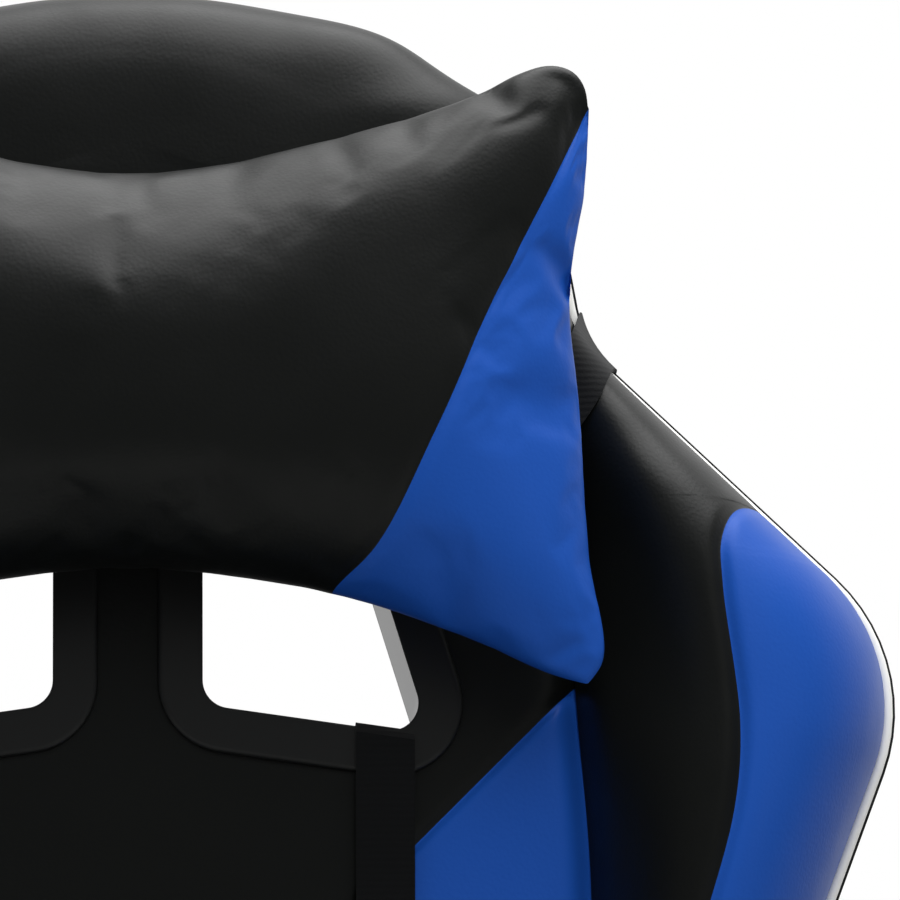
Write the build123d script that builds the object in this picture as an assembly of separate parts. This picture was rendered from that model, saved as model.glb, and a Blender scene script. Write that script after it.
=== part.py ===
"""Gaming chair on a five-star caster base.

Millimetres, +Z up, the front faces -Y and the sitter's left is +X.
The origin is on the floor, on the swivel axis.
"""

import os
from math import cos, radians, sin, tan

from build123d import *

os.makedirs("parts", exist_ok=True)

# Clearances
FIT = 0.3
RUN = 0.05

# Casters
LEG_COUNT = 5
FIRST_LEG_DEG = -90
WHEEL_R = 25
WHEEL_W = 17
WHEEL_GAP = 18
WHEEL_EDGE_R = 3
HUB_CAP_R = 15
HUB_CAP_DEPTH = 2
AXLE_R = 4
CASTER_TRAIL = 20
CASTER_TURN_DEG = 90
HOOD_CLEAR = 3
HOOD_WALL = 3
HOOD_REACH = 2
HOOD_TOP_Z = 59
STEM_R = 5.5
STEM_SEAT = 26
STEM_IN_HOOD = 24

# Five-star base
BASE_R = 290
HUB_R = 40
HUB_H = 62
LEG_ROOT_W = 50
LEG_ROOT_H = 54
LEG_END_W = 36
LEG_END_H = 31
LEG_WALL = 4.5
LEG_EDGE_R = 7

# Gas lift
TUBE_R = 25
TUBE_WALL = 1.6
TUBE_BOTTOM_Z = 62
TUBE_TOP_Z = 275
TUBE_FLOOR = 3
BEARING_R = 14
BEARING_H = 8
CYL_R = 14
CYL_WALL = 2
CYL_BOTTOM_Z = 112
CYL_TOP_Z = 330
ROD_R = 5
ROD_TOP_Z = 250
PISTON_H = 12
VALVE_R = 3
VALVE_H = 3
BUSH_H = 50
BUSH_FLANGE_H = 4
COVER_WALL = 2
COVER_GAP = 0.6
MID_COVER_Z = 205
MID_COVER_H = 80
UP_COVER_Z = 216
UP_COVER_INNER_R = 15

# Tilt mechanism
MECH_Z = 300
MECH_H = 45.5
MECH_HALF_W = 40
MECH_WALL = 3
MECH_FRONT_Y = -140
MECH_REAR_Y = 52
MECH_FLOOR_Y = -38
SOCKET_R = 19.5
BRIDGE_T = 5
BRIDGE_REAR_Y = -48
TILT_PIN_R = 6
TILT_PIN_Y = 35
TILT_PIN_Z = 331
TILT_MAX_DEG = 12
PLATE_HALF_W = 95
PLATE_FRONT_Y = -150
PLATE_REAR_Y = 112
PLATE_T = 4
EAR_T = 4
EAR_R = 12
KNOB_Y = -85
KNOB_R = 28
KNOB_H = 38
KNOB_TOP_Z = 298
KNOB_FLUTE_R = 4
KNOB_FLUTES = 12
KNOB_BOLT_R = 5
SPRING_R = 14
SPRING_WIRE = 3.5

# Height lever
LEVER_X = -52
LEVER_Z = 333.5
LEVER_SLOPE_DEG = 9
LEVER_ROD_R = 4
LEVER_IN = 50
LEVER_OUT = 150
BARREL_R = 7
BARREL_L = 18
TRUNNION_R = 3
LUG_T = 4
LUG_R = 7
LEVER_HOLE_R = 6.5
PADDLE_L = 70
PADDLE_W = 26
PADDLE_T = 11
PADDLE_OVERLAP = 20

# Seat frame
RAIL_W = 25
RAIL_OUT_X = 199.3
RAIL_WALL = 2
FRAME_FRONT_Y = -235
FRAME_REAR_Y = 182
CROSS_BAR_W = 32
CROSS_BAR_H = 12
CROSS_BAR_Y = (-100, 75)
WEB_COUNT = 6
WEB_W = 52
WEB_T = 2

# Seat upholstery
CUSHION_HALF_W = 150
CUSHION_FRONT_Y = -272
CUSHION_REAR_Y = 160
CUSHION_TOP_Z = 460
CUSHION_SIDE_Z = 448
APRON_BOTTOM_Z = 340
BOLSTER_OUT_X = 252
BOLSTER_TOP_Z = 494
BOLSTER_EDGE_Z = 440
BOLSTER_REAR_Y = 78

# Recline hinge
HINGE_Y = 205
HINGE_Z = 430
HINGE_PLATE_T = 5
HINGE_DISC_R = 36
HINGE_PIN_R = 8
HINGE_FOOT_Y = 100
BRACKET_TOP_V = 104
BRACKET_HALF_W = 17
BRACKET_W = 14
HINGE_COVER_T = 18
HINGE_COVER_WALL = 2.5
HINGE_COVER_RIM = 5
HINGE_BOSS_R = 14
HINGE_COVER_EDGE_R = 3.5
RECLINE_HUB_R = 17
RECLINE_HUB_T = 14
RECLINE_ARM_L = 102
RECLINE_ARM_W = 16
RECLINE_ARM_T = 9
RECLINE_ARM_DEG = 6
BACK_LEAN_DEG = 8

# Armrests
ARM_X = 290
ARM_Y = 62
ARM_BAR_W = 56
ARM_BAR_T = 8
ARM_BAR_IN_X = 120
POST_W = 22
POST_D = 40
POST_TOP_Z = 590
POST_WALL = 3
SLEEVE_WALL = 6
SLEEVE_FOOT_Z = 440
SLEEVE_TOP_Z = 618
SLEEVE_ROOF = 10
ARM_PAD_W = 88
ARM_PAD_L = 260
ARM_PAD_T = 28
ARM_PAD_SHIFT_Y = -25
ARM_PAD_EDGE_R = 10
BUTTON_W = 12
BUTTON_H = 14
BUTTON_T = 7
BUTTON_TRAVEL = 3

# Backrest outline, as half-widths and heights above the hinge
BACK_LOW_X = 194
BACK_BOTTOM_V = 22
BACK_LOW_V = 118
WAIST_X = 203
WAIST_V = 335
TIP_X = 287
TIP_V = 559
NECK_X = 165
NECK_V = 674.5
HEAD_X = 151
HEAD_RISE = 77.5
HEAD_V = NECK_V + HEAD_RISE
TOP_FLAT_X = 58
TOP_RISE = 48
TOP_V = HEAD_V + TOP_RISE
SHOULDER_RISE = NECK_V - TIP_V
BOTTOM_R = 18
LOW_R = 150
WAIST_R = 150
TIP_R = 66
NECK_R = 40
HEAD_R = 45
TOP_R = 210

# Backrest layers, as depths behind (+) and in front (-) of the cover's front rim
PAD_T = 44
HEAD_PAD_T = 56
HEAD_PAD_V = TIP_V + 1.22 * SHOULDER_RISE
PAD_EDGE_R = 10
HEAD_EDGE_R = 20
SHELL_D = 30
SHELL_FLOOR = 6
SHELL_RIM = 12
SHELL_EDGE_R = 12
FRAME_R = 11
FRAME_WALL = 1.8
PIPING_R = 2
PIPING_INSET = 1
WING_SECTIONS = (
    # height, seam half-width, depth at the seam, peak depth, depth at the edge
    (26, 148, 40, 43, 24),
    (70, 149, 43, 52, 26),
    (150, 151, 44, 62, 28),
    (240, 155, 44, 68, 30),
    (330, 160, 44, 75, 30),
    (410, 164, 44, 82, 32),
    (477, 164, 44, 87, 34),
    (530, 160, 44, 88, 36),
    (TIP_V + 0.1 * SHOULDER_RISE, 157, 44, 86, 38),
    (TIP_V + 0.44 * SHOULDER_RISE, 153, 45, 77, 40),
    (TIP_V + 0.66 * SHOULDER_RISE, 149, 47, 66, 42),
    (TIP_V + 0.83 * SHOULDER_RISE, 144, 48, 58, 44),
    (TIP_V + 1.03 * SHOULDER_RISE, 138, 50, 55, 44),
    (TIP_V + 1.2 * SHOULDER_RISE, 134, 50, 54, 44),
)

# Harness windows and their bezels
WINDOW_IN_X = 26.5
WINDOW_OUT_X = 107
WINDOW_TOP_OUT_X = 74
WINDOW_LOW_V = 525.5
WINDOW_IN_V = 537
WINDOW_TOP_V = 632
WINDOW_R = 10
BEZEL_W = 16
BEZEL_T = 5
SLEEVE_T = 2.5
REAR_RING_W = 12
REAR_RING_T = 3

# Pillows and straps
HEAD_PILLOW_HALF_W = 166
HEAD_PILLOW_BELOW = 79
HEAD_PILLOW_ABOVE = 63
HEAD_PILLOW_EAR = 38
HEAD_PILLOW_T = 84
LUMBAR_HALF_W = 160
LUMBAR_LOW_V = 126
LUMBAR_TOP_V = 294
LUMBAR_EAR = 16
LUMBAR_T = 84
PILLOW_EDGE_T = 9
PILLOW_STEPS = 7
STRAP_T = 1.5
HEAD_STRAP_V = WINDOW_TOP_V + 24
HEAD_STRAP_W = 28
LUMBAR_STRAP_X = 91
LUMBAR_STRAP_W = 21
STRAP_BEND_V = 3
STRAP_DROP_V = 24
SILL_LIFT = 5

# Bolts
BOLT_R = 4
BOLT_HEAD_R = 6.5
BOLT_HEAD_T = 4.5
BACK_BOLT_V = (58, 88)
HINGE_BOLT_Y = (118, 154)

# Derived places, all from the values above
AXLE_Z = WHEEL_R
LEG_END_Z = HOOD_TOP_Z + FIT
LEG_ROOT_Z = TUBE_BOTTOM_Z + 4
HUB_TOP_Z = TUBE_BOTTOM_Z + HUB_H
BEARING_Z = TUBE_BOTTOM_Z + TUBE_FLOOR
MID_COVER_R = TUBE_R + COVER_GAP + COVER_WALL
UP_COVER_R = MID_COVER_R + COVER_GAP + COVER_WALL
MECH_TOP_Z = MECH_Z + MECH_H
PLATE_Z = MECH_TOP_Z + FIT
PLATE_TOP_Z = PLATE_Z + PLATE_T
RAIL_Z = PLATE_TOP_Z + FIT
RAIL_TOP_Z = RAIL_Z + RAIL_W
CUSHION_Z = RAIL_TOP_Z + WEB_T + 2 * FIT
RAIL_IN_X = RAIL_OUT_X - RAIL_W
BRACKET_X = BACK_LOW_X + FIT
HINGE_PLATE_X = BRACKET_X + HINGE_PLATE_T + FIT
HINGE_COVER_X = HINGE_PLATE_X + HINGE_PLATE_T + FIT
HINGE_OUT_X = HINGE_COVER_X + HINGE_COVER_T
ARM_BAR_Z = RAIL_Z - FIT - ARM_BAR_T
WINDOW_POINTS = (
    (WINDOW_IN_X, WINDOW_IN_V),
    (WINDOW_OUT_X, WINDOW_LOW_V),
    (WINDOW_TOP_OUT_X, WINDOW_TOP_V),
    (WINDOW_IN_X, WINDOW_TOP_V),
)
LEG_ANGLES = [FIRST_LEG_DEG + 360 / LEG_COUNT * i for i in range(LEG_COUNT)]
BACK_PLACE = Pos(0, HINGE_Y, HINGE_Z) * Rot(-BACK_LEAN_DEG, 0, 0)


def save(name, *solids):
    """Write one node, made of one or more separate solids."""
    bodies = [s for shape in solids for s in shape.solids()]
    shape = bodies[0] if len(bodies) == 1 else Compound(children=bodies)
    export_step(shape, f"parts/{name}.step")


def save_pair(name, left):
    """Write a left node and its mirror image on the right."""
    save(f"{name}_left", left)
    save(f"{name}_right", mirror(left, about=Plane.YZ))


def block(x0, x1, y0, y1, z0, z1):
    """Box between two corners."""
    centre = Pos((x0 + x1) / 2, (y0 + y1) / 2, (z0 + z1) / 2)
    return centre * Box(x1 - x0, y1 - y0, z1 - z0)


def disc(r, z0, z1, x=0, y=0):
    """Upright cylinder between two heights."""
    return Pos(x, y, (z0 + z1) / 2) * Cylinder(r, z1 - z0)


def pin_x(r, x0, x1, y, z):
    """Cylinder along X."""
    return Pos((x0 + x1) / 2, y, z) * Rot(0, 90, 0) * Cylinder(r, x1 - x0)


def pin_y(r, y0, y1, x, z):
    """Cylinder along Y."""
    return Pos(x, (y0 + y1) / 2, z) * Rot(90, 0, 0) * Cylinder(r, y1 - y0)


def slab(face, y0, y1):
    """A face drawn in X and Z, made solid between two depths."""
    return extrude(Plane.XZ.offset(-y0) * face, amount=y1 - y0, dir=(0, 1, 0))


def plate_x(face, x0, x1):
    """A face drawn in Y and Z, made solid between two X positions."""
    return extrude(Plane.YZ.offset(x0) * face, amount=x1 - x0)


def outline(points, radii):
    """Closed flat face through points with rounded corners."""
    return make_face(FilletPolyline(*points, radius=radii, close=True))


def lens(plane, mid, low, high, thick):
    """Pillow section: two shallow arcs between a lower and an upper edge."""
    centre = (low + high) / 2
    front = ThreePointArc((mid, low), (mid - thick / 2, centre), (mid, high))
    rear = ThreePointArc((mid, high), (mid + thick / 2, centre), (mid, low))
    return plane * make_face([front, rear])


def pillow(half, low, high, ear, thick, rear):
    """Pillow with eared corners, thick in the middle, with its back at a depth."""
    mid = rear - thick / 2
    sections = []
    for i in range(-PILLOW_STEPS, PILLOW_STEPS + 1):
        share = sin(radians(90 * i / PILLOW_STEPS))
        rise = ear * abs(share) ** 1.7
        depth = PILLOW_EDGE_T + (thick - PILLOW_EDGE_T) * (1 - abs(share) ** 3.2)
        sections.append(lens(Plane.YZ.offset(half * share), mid, low - rise, high + rise, depth))
    return loft(sections, ruled=True)


# Caster wheels, hoods and stems, each built at the origin with its stem on Z
wheel = pin_y(WHEEL_R, WHEEL_GAP / 2, WHEEL_GAP / 2 + WHEEL_W, CASTER_TRAIL, AXLE_Z)
wheel = fillet(wheel.edges().filter_by(GeomType.CIRCLE), WHEEL_EDGE_R)
wheel_out = WHEEL_GAP / 2 + WHEEL_W
wheel -= pin_y(HUB_CAP_R, wheel_out - HUB_CAP_DEPTH, wheel_out, CASTER_TRAIL, AXLE_Z)
axle_half = wheel_out - 2 * HUB_CAP_DEPTH
wheel -= pin_y(AXLE_R + RUN, 0, axle_half + FIT, CASTER_TRAIL, AXLE_Z)
axle = pin_y(AXLE_R, -axle_half, axle_half, CASTER_TRAIL, AXLE_Z)

web_half = WHEEL_GAP / 2 - FIT
fender_in = WHEEL_R + HOOD_CLEAR
fender_out = fender_in + HOOD_WALL
fender_half = wheel_out + HOOD_REACH
fender = pin_y(fender_out, -fender_half, fender_half, CASTER_TRAIL, AXLE_Z)
fender -= pin_y(fender_in, -fender_half, fender_half, CASTER_TRAIL, AXLE_Z)
fender &= block(-80, 80, -80, 80, AXLE_Z + HOOD_WALL, HOOD_TOP_Z)
web = pin_y(fender_in + 1, -web_half, web_half, CASTER_TRAIL, AXLE_Z)
web &= block(-80, 80, -80, 80, AXLE_Z - 2 * AXLE_R, HOOD_TOP_Z)
hood = fender + web + disc(web_half, AXLE_Z + 4, HOOD_TOP_Z)
hood -= pin_y(AXLE_R + RUN, -web_half, web_half, CASTER_TRAIL, AXLE_Z)
hood -= disc(STEM_R + RUN, HOOD_TOP_Z - STEM_IN_HOOD - FIT, HOOD_TOP_Z)
stem = disc(STEM_R, HOOD_TOP_Z - STEM_IN_HOOD, LEG_END_Z + STEM_SEAT)

stems = []
for number, angle in enumerate(LEG_ANGLES, start=1):
    a = radians(angle)
    spot = Pos(BASE_R * cos(a), BASE_R * sin(a), 0)
    place = spot * Rot(0, 0, angle + CASTER_TURN_DEG)
    save(f"caster_hood_{number}", place * hood)
    save(f"caster_wheels_{number}", place * wheel, place * mirror(wheel, about=Plane.XZ), place * axle)
    stems.append(spot * stem)
save("caster_stems", *stems)


# Five-star base: ribless hollow legs, lofted from the hub to the stem sockets
def leg_section(r, width, z0, z1):
    plane = Plane(origin=(r, 0, (z0 + z1) / 2), x_dir=(0, 1, 0), z_dir=(1, 0, 0))
    return plane * RectangleRounded(width, z1 - z0, LEG_EDGE_R)


root_top = LEG_ROOT_Z + LEG_ROOT_H
end_top = LEG_END_Z + LEG_END_H
leg = loft([
    leg_section(TUBE_R + 8, LEG_ROOT_W, LEG_ROOT_Z, root_top),
    leg_section(BASE_R, LEG_END_W, LEG_END_Z, end_top),
])
leg += disc(LEG_END_W / 2, LEG_END_Z, end_top, BASE_R)
channel = loft([
    leg_section(HUB_R + 2, LEG_ROOT_W - 2 * LEG_WALL, LEG_ROOT_Z - 24, root_top - LEG_WALL - 4),
    leg_section(BASE_R - LEG_END_W / 2 - 2, LEG_END_W - 2 * LEG_WALL, LEG_END_Z - 24, end_top - LEG_WALL),
])
leg -= channel
base = disc(HUB_R, TUBE_BOTTOM_Z, HUB_TOP_Z)
for angle in LEG_ANGLES:
    base += Rot(0, 0, angle) * leg
base -= disc(TUBE_R + RUN, TUBE_BOTTOM_Z - 1, root_top + 20)
for angle in LEG_ANGLES:
    base -= Rot(0, 0, angle) * disc(STEM_R + RUN, LEG_END_Z - 1, LEG_END_Z + STEM_SEAT + FIT, BASE_R)
save("star_base", base)

# Gas lift: column, bearing, rod, bush and cylinder
column = disc(TUBE_R, TUBE_BOTTOM_Z, TUBE_TOP_Z)
column -= disc(TUBE_R - TUBE_WALL, BEARING_Z, TUBE_TOP_Z)
column -= disc(ROD_R + RUN, TUBE_BOTTOM_Z, BEARING_Z)
save("column_tube", column)
bearing = disc(BEARING_R, BEARING_Z + RUN, BEARING_Z + BEARING_H)
save("thrust_bearing", bearing - disc(ROD_R + RUN, BEARING_Z, BEARING_Z + BEARING_H))
rod_step_z = BEARING_Z + BEARING_H + RUN
rod = disc(ROD_R, TUBE_BOTTOM_Z, ROD_TOP_Z)
rod += disc(ROD_R + 3, rod_step_z, rod_step_z + 5)
rod += disc(CYL_R - CYL_WALL - RUN, ROD_TOP_Z - PISTON_H, ROD_TOP_Z)
save("piston_rod", rod)
bush_r = TUBE_R - TUBE_WALL - RUN
bush = disc(bush_r, TUBE_TOP_Z - BUSH_H, TUBE_TOP_Z)
bush += disc(TUBE_R, TUBE_TOP_Z + RUN, TUBE_TOP_Z + BUSH_FLANGE_H)
bush += disc(bush_r, TUBE_TOP_Z - 1, TUBE_TOP_Z + 1)
bush -= disc(CYL_R + RUN, TUBE_TOP_Z - BUSH_H, TUBE_TOP_Z + BUSH_FLANGE_H)
save("column_bush", bush)
cylinder = disc(CYL_R, CYL_BOTTOM_Z, CYL_TOP_Z)
cylinder -= disc(CYL_R - CYL_WALL, CYL_BOTTOM_Z + 6, CYL_TOP_Z - 6)
cylinder -= disc(ROD_R + RUN, CYL_BOTTOM_Z, CYL_BOTTOM_Z + 6)
cylinder += disc(VALVE_R, CYL_TOP_Z - 1, CYL_TOP_Z + VALVE_H)
save("gas_cylinder", cylinder)

# Telescopic covers of the column
mid_top = MID_COVER_Z + MID_COVER_H
mid_cover = disc(MID_COVER_R, MID_COVER_Z, mid_top)
mid_cover -= disc(MID_COVER_R - COVER_WALL, MID_COVER_Z, mid_top)
save("column_cover_middle", mid_cover)
up_top = MECH_Z - FIT
up_cover = disc(UP_COVER_R, UP_COVER_Z, up_top)
up_cover -= disc(UP_COVER_R - COVER_WALL, UP_COVER_Z, up_top - 3)
up_cover -= disc(UP_COVER_INNER_R, UP_COVER_Z, up_top)
save("column_cover_upper", up_cover)

# Tilt housing: pressed box, open below at the front for the knob
wall_in = MECH_HALF_W - MECH_WALL
housing = block(-MECH_HALF_W, MECH_HALF_W, MECH_FRONT_Y, MECH_REAR_Y, MECH_Z, MECH_TOP_Z)
housing -= block(
    -wall_in, wall_in, MECH_FRONT_Y + MECH_WALL, MECH_REAR_Y + 1, MECH_Z + MECH_WALL, MECH_TOP_Z)
housing -= block(-wall_in, wall_in, MECH_FRONT_Y + MECH_WALL, MECH_FLOOR_Y, MECH_Z, MECH_TOP_Z)
bridge_z = MECH_TOP_Z - BRIDGE_T
bridge = block(-wall_in, wall_in, MECH_FRONT_Y + 1, BRIDGE_REAR_Y, bridge_z, MECH_TOP_Z)
bridge -= Pos(0, KNOB_Y + 3, bridge_z + BRIDGE_T / 2) * extrude(
    SlotOverall(2 * KNOB_BOLT_R + 14, 2 * KNOB_BOLT_R + 3, rotation=90), amount=BRIDGE_T, both=True)
housing += bridge
housing += disc(SOCKET_R, MECH_Z, CYL_TOP_Z)
lug = pin_y(LUG_R, -LUG_T / 2, LUG_T / 2, LEVER_X, LEVER_Z)
lug += block(LEVER_X, -MECH_HALF_W + 1, -LUG_T / 2, LUG_T / 2, LEVER_Z - LUG_R, LEVER_Z + LUG_R)
lug_y = BARREL_L / 2 + FIT + LUG_T / 2
housing += Pos(0, lug_y, 0) * lug
housing += Pos(0, -lug_y, 0) * lug
housing -= disc(CYL_R + RUN, MECH_Z - 1, MECH_TOP_Z)
slope_cut = make_face(Polyline(
    (TILT_PIN_Y - 22, MECH_TOP_Z), (MECH_REAR_Y + 5, MECH_TOP_Z - 15), (MECH_REAR_Y + 5, MECH_TOP_Z + 9),
    (TILT_PIN_Y - 22, MECH_TOP_Z + 9), close=True))
housing -= plate_x(slope_cut, -MECH_HALF_W - 1, MECH_HALF_W + 1)
housing -= pin_x(TILT_PIN_R + RUN, -MECH_HALF_W - 1, MECH_HALF_W + 1, TILT_PIN_Y, TILT_PIN_Z)
housing -= pin_y(TRUNNION_R + RUN, -lug_y - LUG_T, lug_y + LUG_T, LEVER_X, LEVER_Z)
hole_z = LEVER_Z + (-MECH_HALF_W - LEVER_X) * tan(radians(LEVER_SLOPE_DEG))
housing -= pin_x(LEVER_HOLE_R, -MECH_HALF_W - 1, -wall_in + 1, 0, hole_z)
save("tilt_housing", housing)

# Tilt plate with its two ears, and the pivot pin
plate = block(-PLATE_HALF_W, PLATE_HALF_W, PLATE_FRONT_Y, PLATE_REAR_Y, PLATE_Z, PLATE_TOP_Z)
plate = fillet(plate.edges().filter_by(Axis.Z), 14)
ear_in = MECH_HALF_W + FIT
ear = pin_x(EAR_R, ear_in, ear_in + EAR_T, TILT_PIN_Y, TILT_PIN_Z)
ear += block(ear_in, ear_in + EAR_T, TILT_PIN_Y - EAR_R, TILT_PIN_Y + EAR_R, TILT_PIN_Z, PLATE_Z + 1)
plate += ear + mirror(ear, about=Plane.YZ)
plate -= pin_x(TILT_PIN_R + RUN, -60, 60, TILT_PIN_Y, TILT_PIN_Z)
plate -= disc(KNOB_BOLT_R + RUN, PLATE_Z - 1, PLATE_TOP_Z + 1, 0, KNOB_Y)
seat_bolt_spots = [(x, y) for x in (-72, 72) for y in CROSS_BAR_Y]
for x, y in seat_bolt_spots:
    plate -= disc(BOLT_R + RUN, PLATE_Z - 1, PLATE_TOP_Z + 1, x, y)
save("tilt_plate", plate)
pin_half = ear_in + EAR_T + 3
save("tilt_pin", pin_x(TILT_PIN_R, -pin_half, pin_half, TILT_PIN_Y, TILT_PIN_Z))

# Tension knob with its moulded-in bolt, and the coil above it
knob = disc(KNOB_R, KNOB_TOP_Z - KNOB_H, KNOB_TOP_Z, 0, KNOB_Y)
knob = fillet(knob.edges().filter_by(GeomType.CIRCLE), 4)
for i in range(KNOB_FLUTES):
    a = radians(360 / KNOB_FLUTES * i)
    flute_x = (KNOB_R + 2) * sin(a)
    flute_y = KNOB_Y + (KNOB_R + 2) * cos(a)
    knob -= disc(KNOB_FLUTE_R, KNOB_TOP_Z - KNOB_H - 1, KNOB_TOP_Z + 1, flute_x, flute_y)
knob += disc(KNOB_BOLT_R, KNOB_TOP_Z - KNOB_H / 2, PLATE_TOP_Z, 0, KNOB_Y)
save("tension_knob", knob)
spring = disc(SPRING_R, KNOB_TOP_Z + FIT, bridge_z - FIT, 0, KNOB_Y)
save("tilt_spring", spring - disc(SPRING_R - SPRING_WIRE, KNOB_TOP_Z, bridge_z, 0, KNOB_Y))

# Height lever: barrel on trunnions, with the rod and paddle sliding through it
lever_place = Pos(LEVER_X, 0, LEVER_Z) * Rot(0, -LEVER_SLOPE_DEG, 0)
barrel = pin_y(BARREL_R, -BARREL_L / 2, BARREL_L / 2, LEVER_X, LEVER_Z)
trunnion_half = lug_y + LUG_T / 2
barrel += pin_y(TRUNNION_R, -trunnion_half, trunnion_half, LEVER_X, LEVER_Z)
barrel -= lever_place * pin_x(LEVER_ROD_R + RUN, -2 * BARREL_R, 2 * BARREL_R, 0, 0)
save("lever_pivot", barrel)
lever_rod = pin_x(LEVER_ROD_R, -LEVER_OUT, LEVER_IN, 0, 0)
save("lever_rod", lever_place * lever_rod)
paddle_in = -LEVER_OUT + PADDLE_OVERLAP
paddle = Pos(paddle_in - PADDLE_L / 2, 0, 0) * Box(PADDLE_L, PADDLE_W, PADDLE_T)
paddle = fillet(paddle.edges().filter_by(Axis.Z), 9)
paddle = fillet(paddle.faces().sort_by(Axis.Z)[-1].edges() + paddle.faces().sort_by(Axis.Z)[0].edges(), 3)
paddle -= pin_x(LEVER_ROD_R + RUN, -LEVER_OUT - FIT, LEVER_IN, 0, 0)
save("lever_paddle", lever_place * paddle)

# Seat frame: square rails, front and rear tubes, and two flat cross bars on the plate
frame = block(RAIL_IN_X, RAIL_OUT_X, FRAME_FRONT_Y, FRAME_REAR_Y, RAIL_Z, RAIL_TOP_Z)
frame += mirror(frame, about=Plane.YZ)
for y in (FRAME_FRONT_Y, FRAME_REAR_Y - RAIL_W):
    frame += block(-RAIL_IN_X - 1, RAIL_IN_X + 1, y, y + RAIL_W, RAIL_Z, RAIL_TOP_Z)
for y in CROSS_BAR_Y:
    frame += block(-RAIL_IN_X - 1, RAIL_IN_X + 1, y - CROSS_BAR_W / 2, y + CROSS_BAR_W / 2,
                   RAIL_Z, RAIL_Z + CROSS_BAR_H)
bore = RAIL_W - 2 * RAIL_WALL
for x in (-RAIL_IN_X - RAIL_WALL - bore, RAIL_IN_X + RAIL_WALL):
    frame -= block(
        x, x + bore, FRAME_FRONT_Y - 1, FRAME_REAR_Y + 1, RAIL_Z + RAIL_WALL, RAIL_TOP_Z - RAIL_WALL)
for y in (FRAME_FRONT_Y + RAIL_WALL, FRAME_REAR_Y - RAIL_WALL - bore):
    frame -= block(
        -RAIL_IN_X - RAIL_WALL, RAIL_IN_X + RAIL_WALL, y, y + bore,
        RAIL_Z + RAIL_WALL, RAIL_TOP_Z - RAIL_WALL)
for x, y in seat_bolt_spots:
    frame -= disc(BOLT_R + RUN, RAIL_Z - 1, RAIL_Z + CROSS_BAR_H + 1, x, y)
arm_bolt_spots = [(x, ARM_Y + dy) for x in (RAIL_IN_X + RAIL_W / 2,) for dy in (-16, 16)]
arm_bolt_top = RAIL_Z + RAIL_W / 2
for x, y in arm_bolt_spots:
    frame -= disc(BOLT_R + RUN, RAIL_Z - 1, arm_bolt_top + FIT, x, y)
    frame -= disc(BOLT_R + RUN, RAIL_Z - 1, arm_bolt_top + FIT, -x, y)
hinge_bolt_z = RAIL_Z + RAIL_W / 2
hinge_bolt_in = RAIL_OUT_X - RAIL_W / 2
for y in HINGE_BOLT_Y:
    hole = pin_x(BOLT_R + RUN, hinge_bolt_in - FIT, RAIL_OUT_X + 1, y, hinge_bolt_z)
    frame -= hole + mirror(hole, about=Plane.YZ)
save("seat_frame", frame)
web_pitch = (FRAME_REAR_Y - FRAME_FRONT_Y - WEB_W - 2 * RAIL_W) / (WEB_COUNT - 1)
webs = []
for i in range(WEB_COUNT):
    y = FRAME_FRONT_Y + RAIL_W + i * web_pitch
    webs.append(block(-RAIL_OUT_X, RAIL_OUT_X, y, y + WEB_W, RAIL_TOP_Z + FIT, RAIL_TOP_Z + FIT + WEB_T))
save("seat_webbing", *webs)


# Seat cushion: crowned sections from the front lip to the back, and the lip's apron
def cushion_section(y, inset, z0, side_drop, top_drop):
    half = CUSHION_HALF_W - inset
    side_z = CUSHION_SIDE_Z - side_drop
    top_z = CUSHION_TOP_Z - top_drop
    left = Line((-half, z0), (-half, side_z))
    crown = ThreePointArc((-half, side_z), (0, top_z), (half, side_z))
    right = Line((half, side_z), (half, z0))
    floor = Line((half, z0), (-half, z0))
    return Plane.XZ.offset(-y) * make_face([left, crown, right, floor])


lip_y = FRAME_FRONT_Y - FIT
cushion = loft([
    cushion_section(CUSHION_FRONT_Y, 9, APRON_BOTTOM_Z + 12, 50, 54),
    cushion_section(CUSHION_FRONT_Y + 3, 5, APRON_BOTTOM_Z + 5, 36, 40),
    cushion_section(CUSHION_FRONT_Y + 10, 2, APRON_BOTTOM_Z + 1, 23, 26),
    cushion_section(CUSHION_FRONT_Y + 22, 0, APRON_BOTTOM_Z, 13, 15),
    cushion_section(lip_y, 0, APRON_BOTTOM_Z, 8, 9),
], ruled=True)
cushion += loft([
    cushion_section(lip_y, 0, CUSHION_Z, 8, 9),
    cushion_section(CUSHION_FRONT_Y + 72, 0, CUSHION_Z, 2, 2),
    cushion_section(CUSHION_FRONT_Y + 132, 0, CUSHION_Z, 0, 0),
    cushion_section(CUSHION_REAR_Y - 80, 0, CUSHION_Z, 0, 0),
    cushion_section(CUSHION_REAR_Y - 26, 0, CUSHION_Z, 2, 4),
    cushion_section(CUSHION_REAR_Y - 8, 2, CUSHION_Z + 2, 10, 14),
    cushion_section(CUSHION_REAR_Y, 8, CUSHION_Z + 10, 24, 30),
], ruled=True)
save("seat_cushion", cushion)


# Side bolsters: raised rolls outside the rails, narrower beside the hinges
def bolster_section(y, out, z0, side_drop, top_drop, edge_drop):
    inner = CUSHION_HALF_W + FIT
    side_z = CUSHION_SIDE_Z - side_drop
    top_z = BOLSTER_TOP_Z - top_drop
    edge_z = BOLSTER_EDGE_Z - edge_drop
    side = Line((inner, z0), (inner, side_z))
    peak = (inner + 0.5 * (out - inner), top_z)
    crown = ThreePointArc((inner, side_z), peak, (out, edge_z))
    skirt = Line((out, edge_z), (out, z0))
    floor = Line((out, z0), (inner, z0))
    return Plane.XZ.offset(-y) * make_face([side, crown, skirt, floor])


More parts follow.
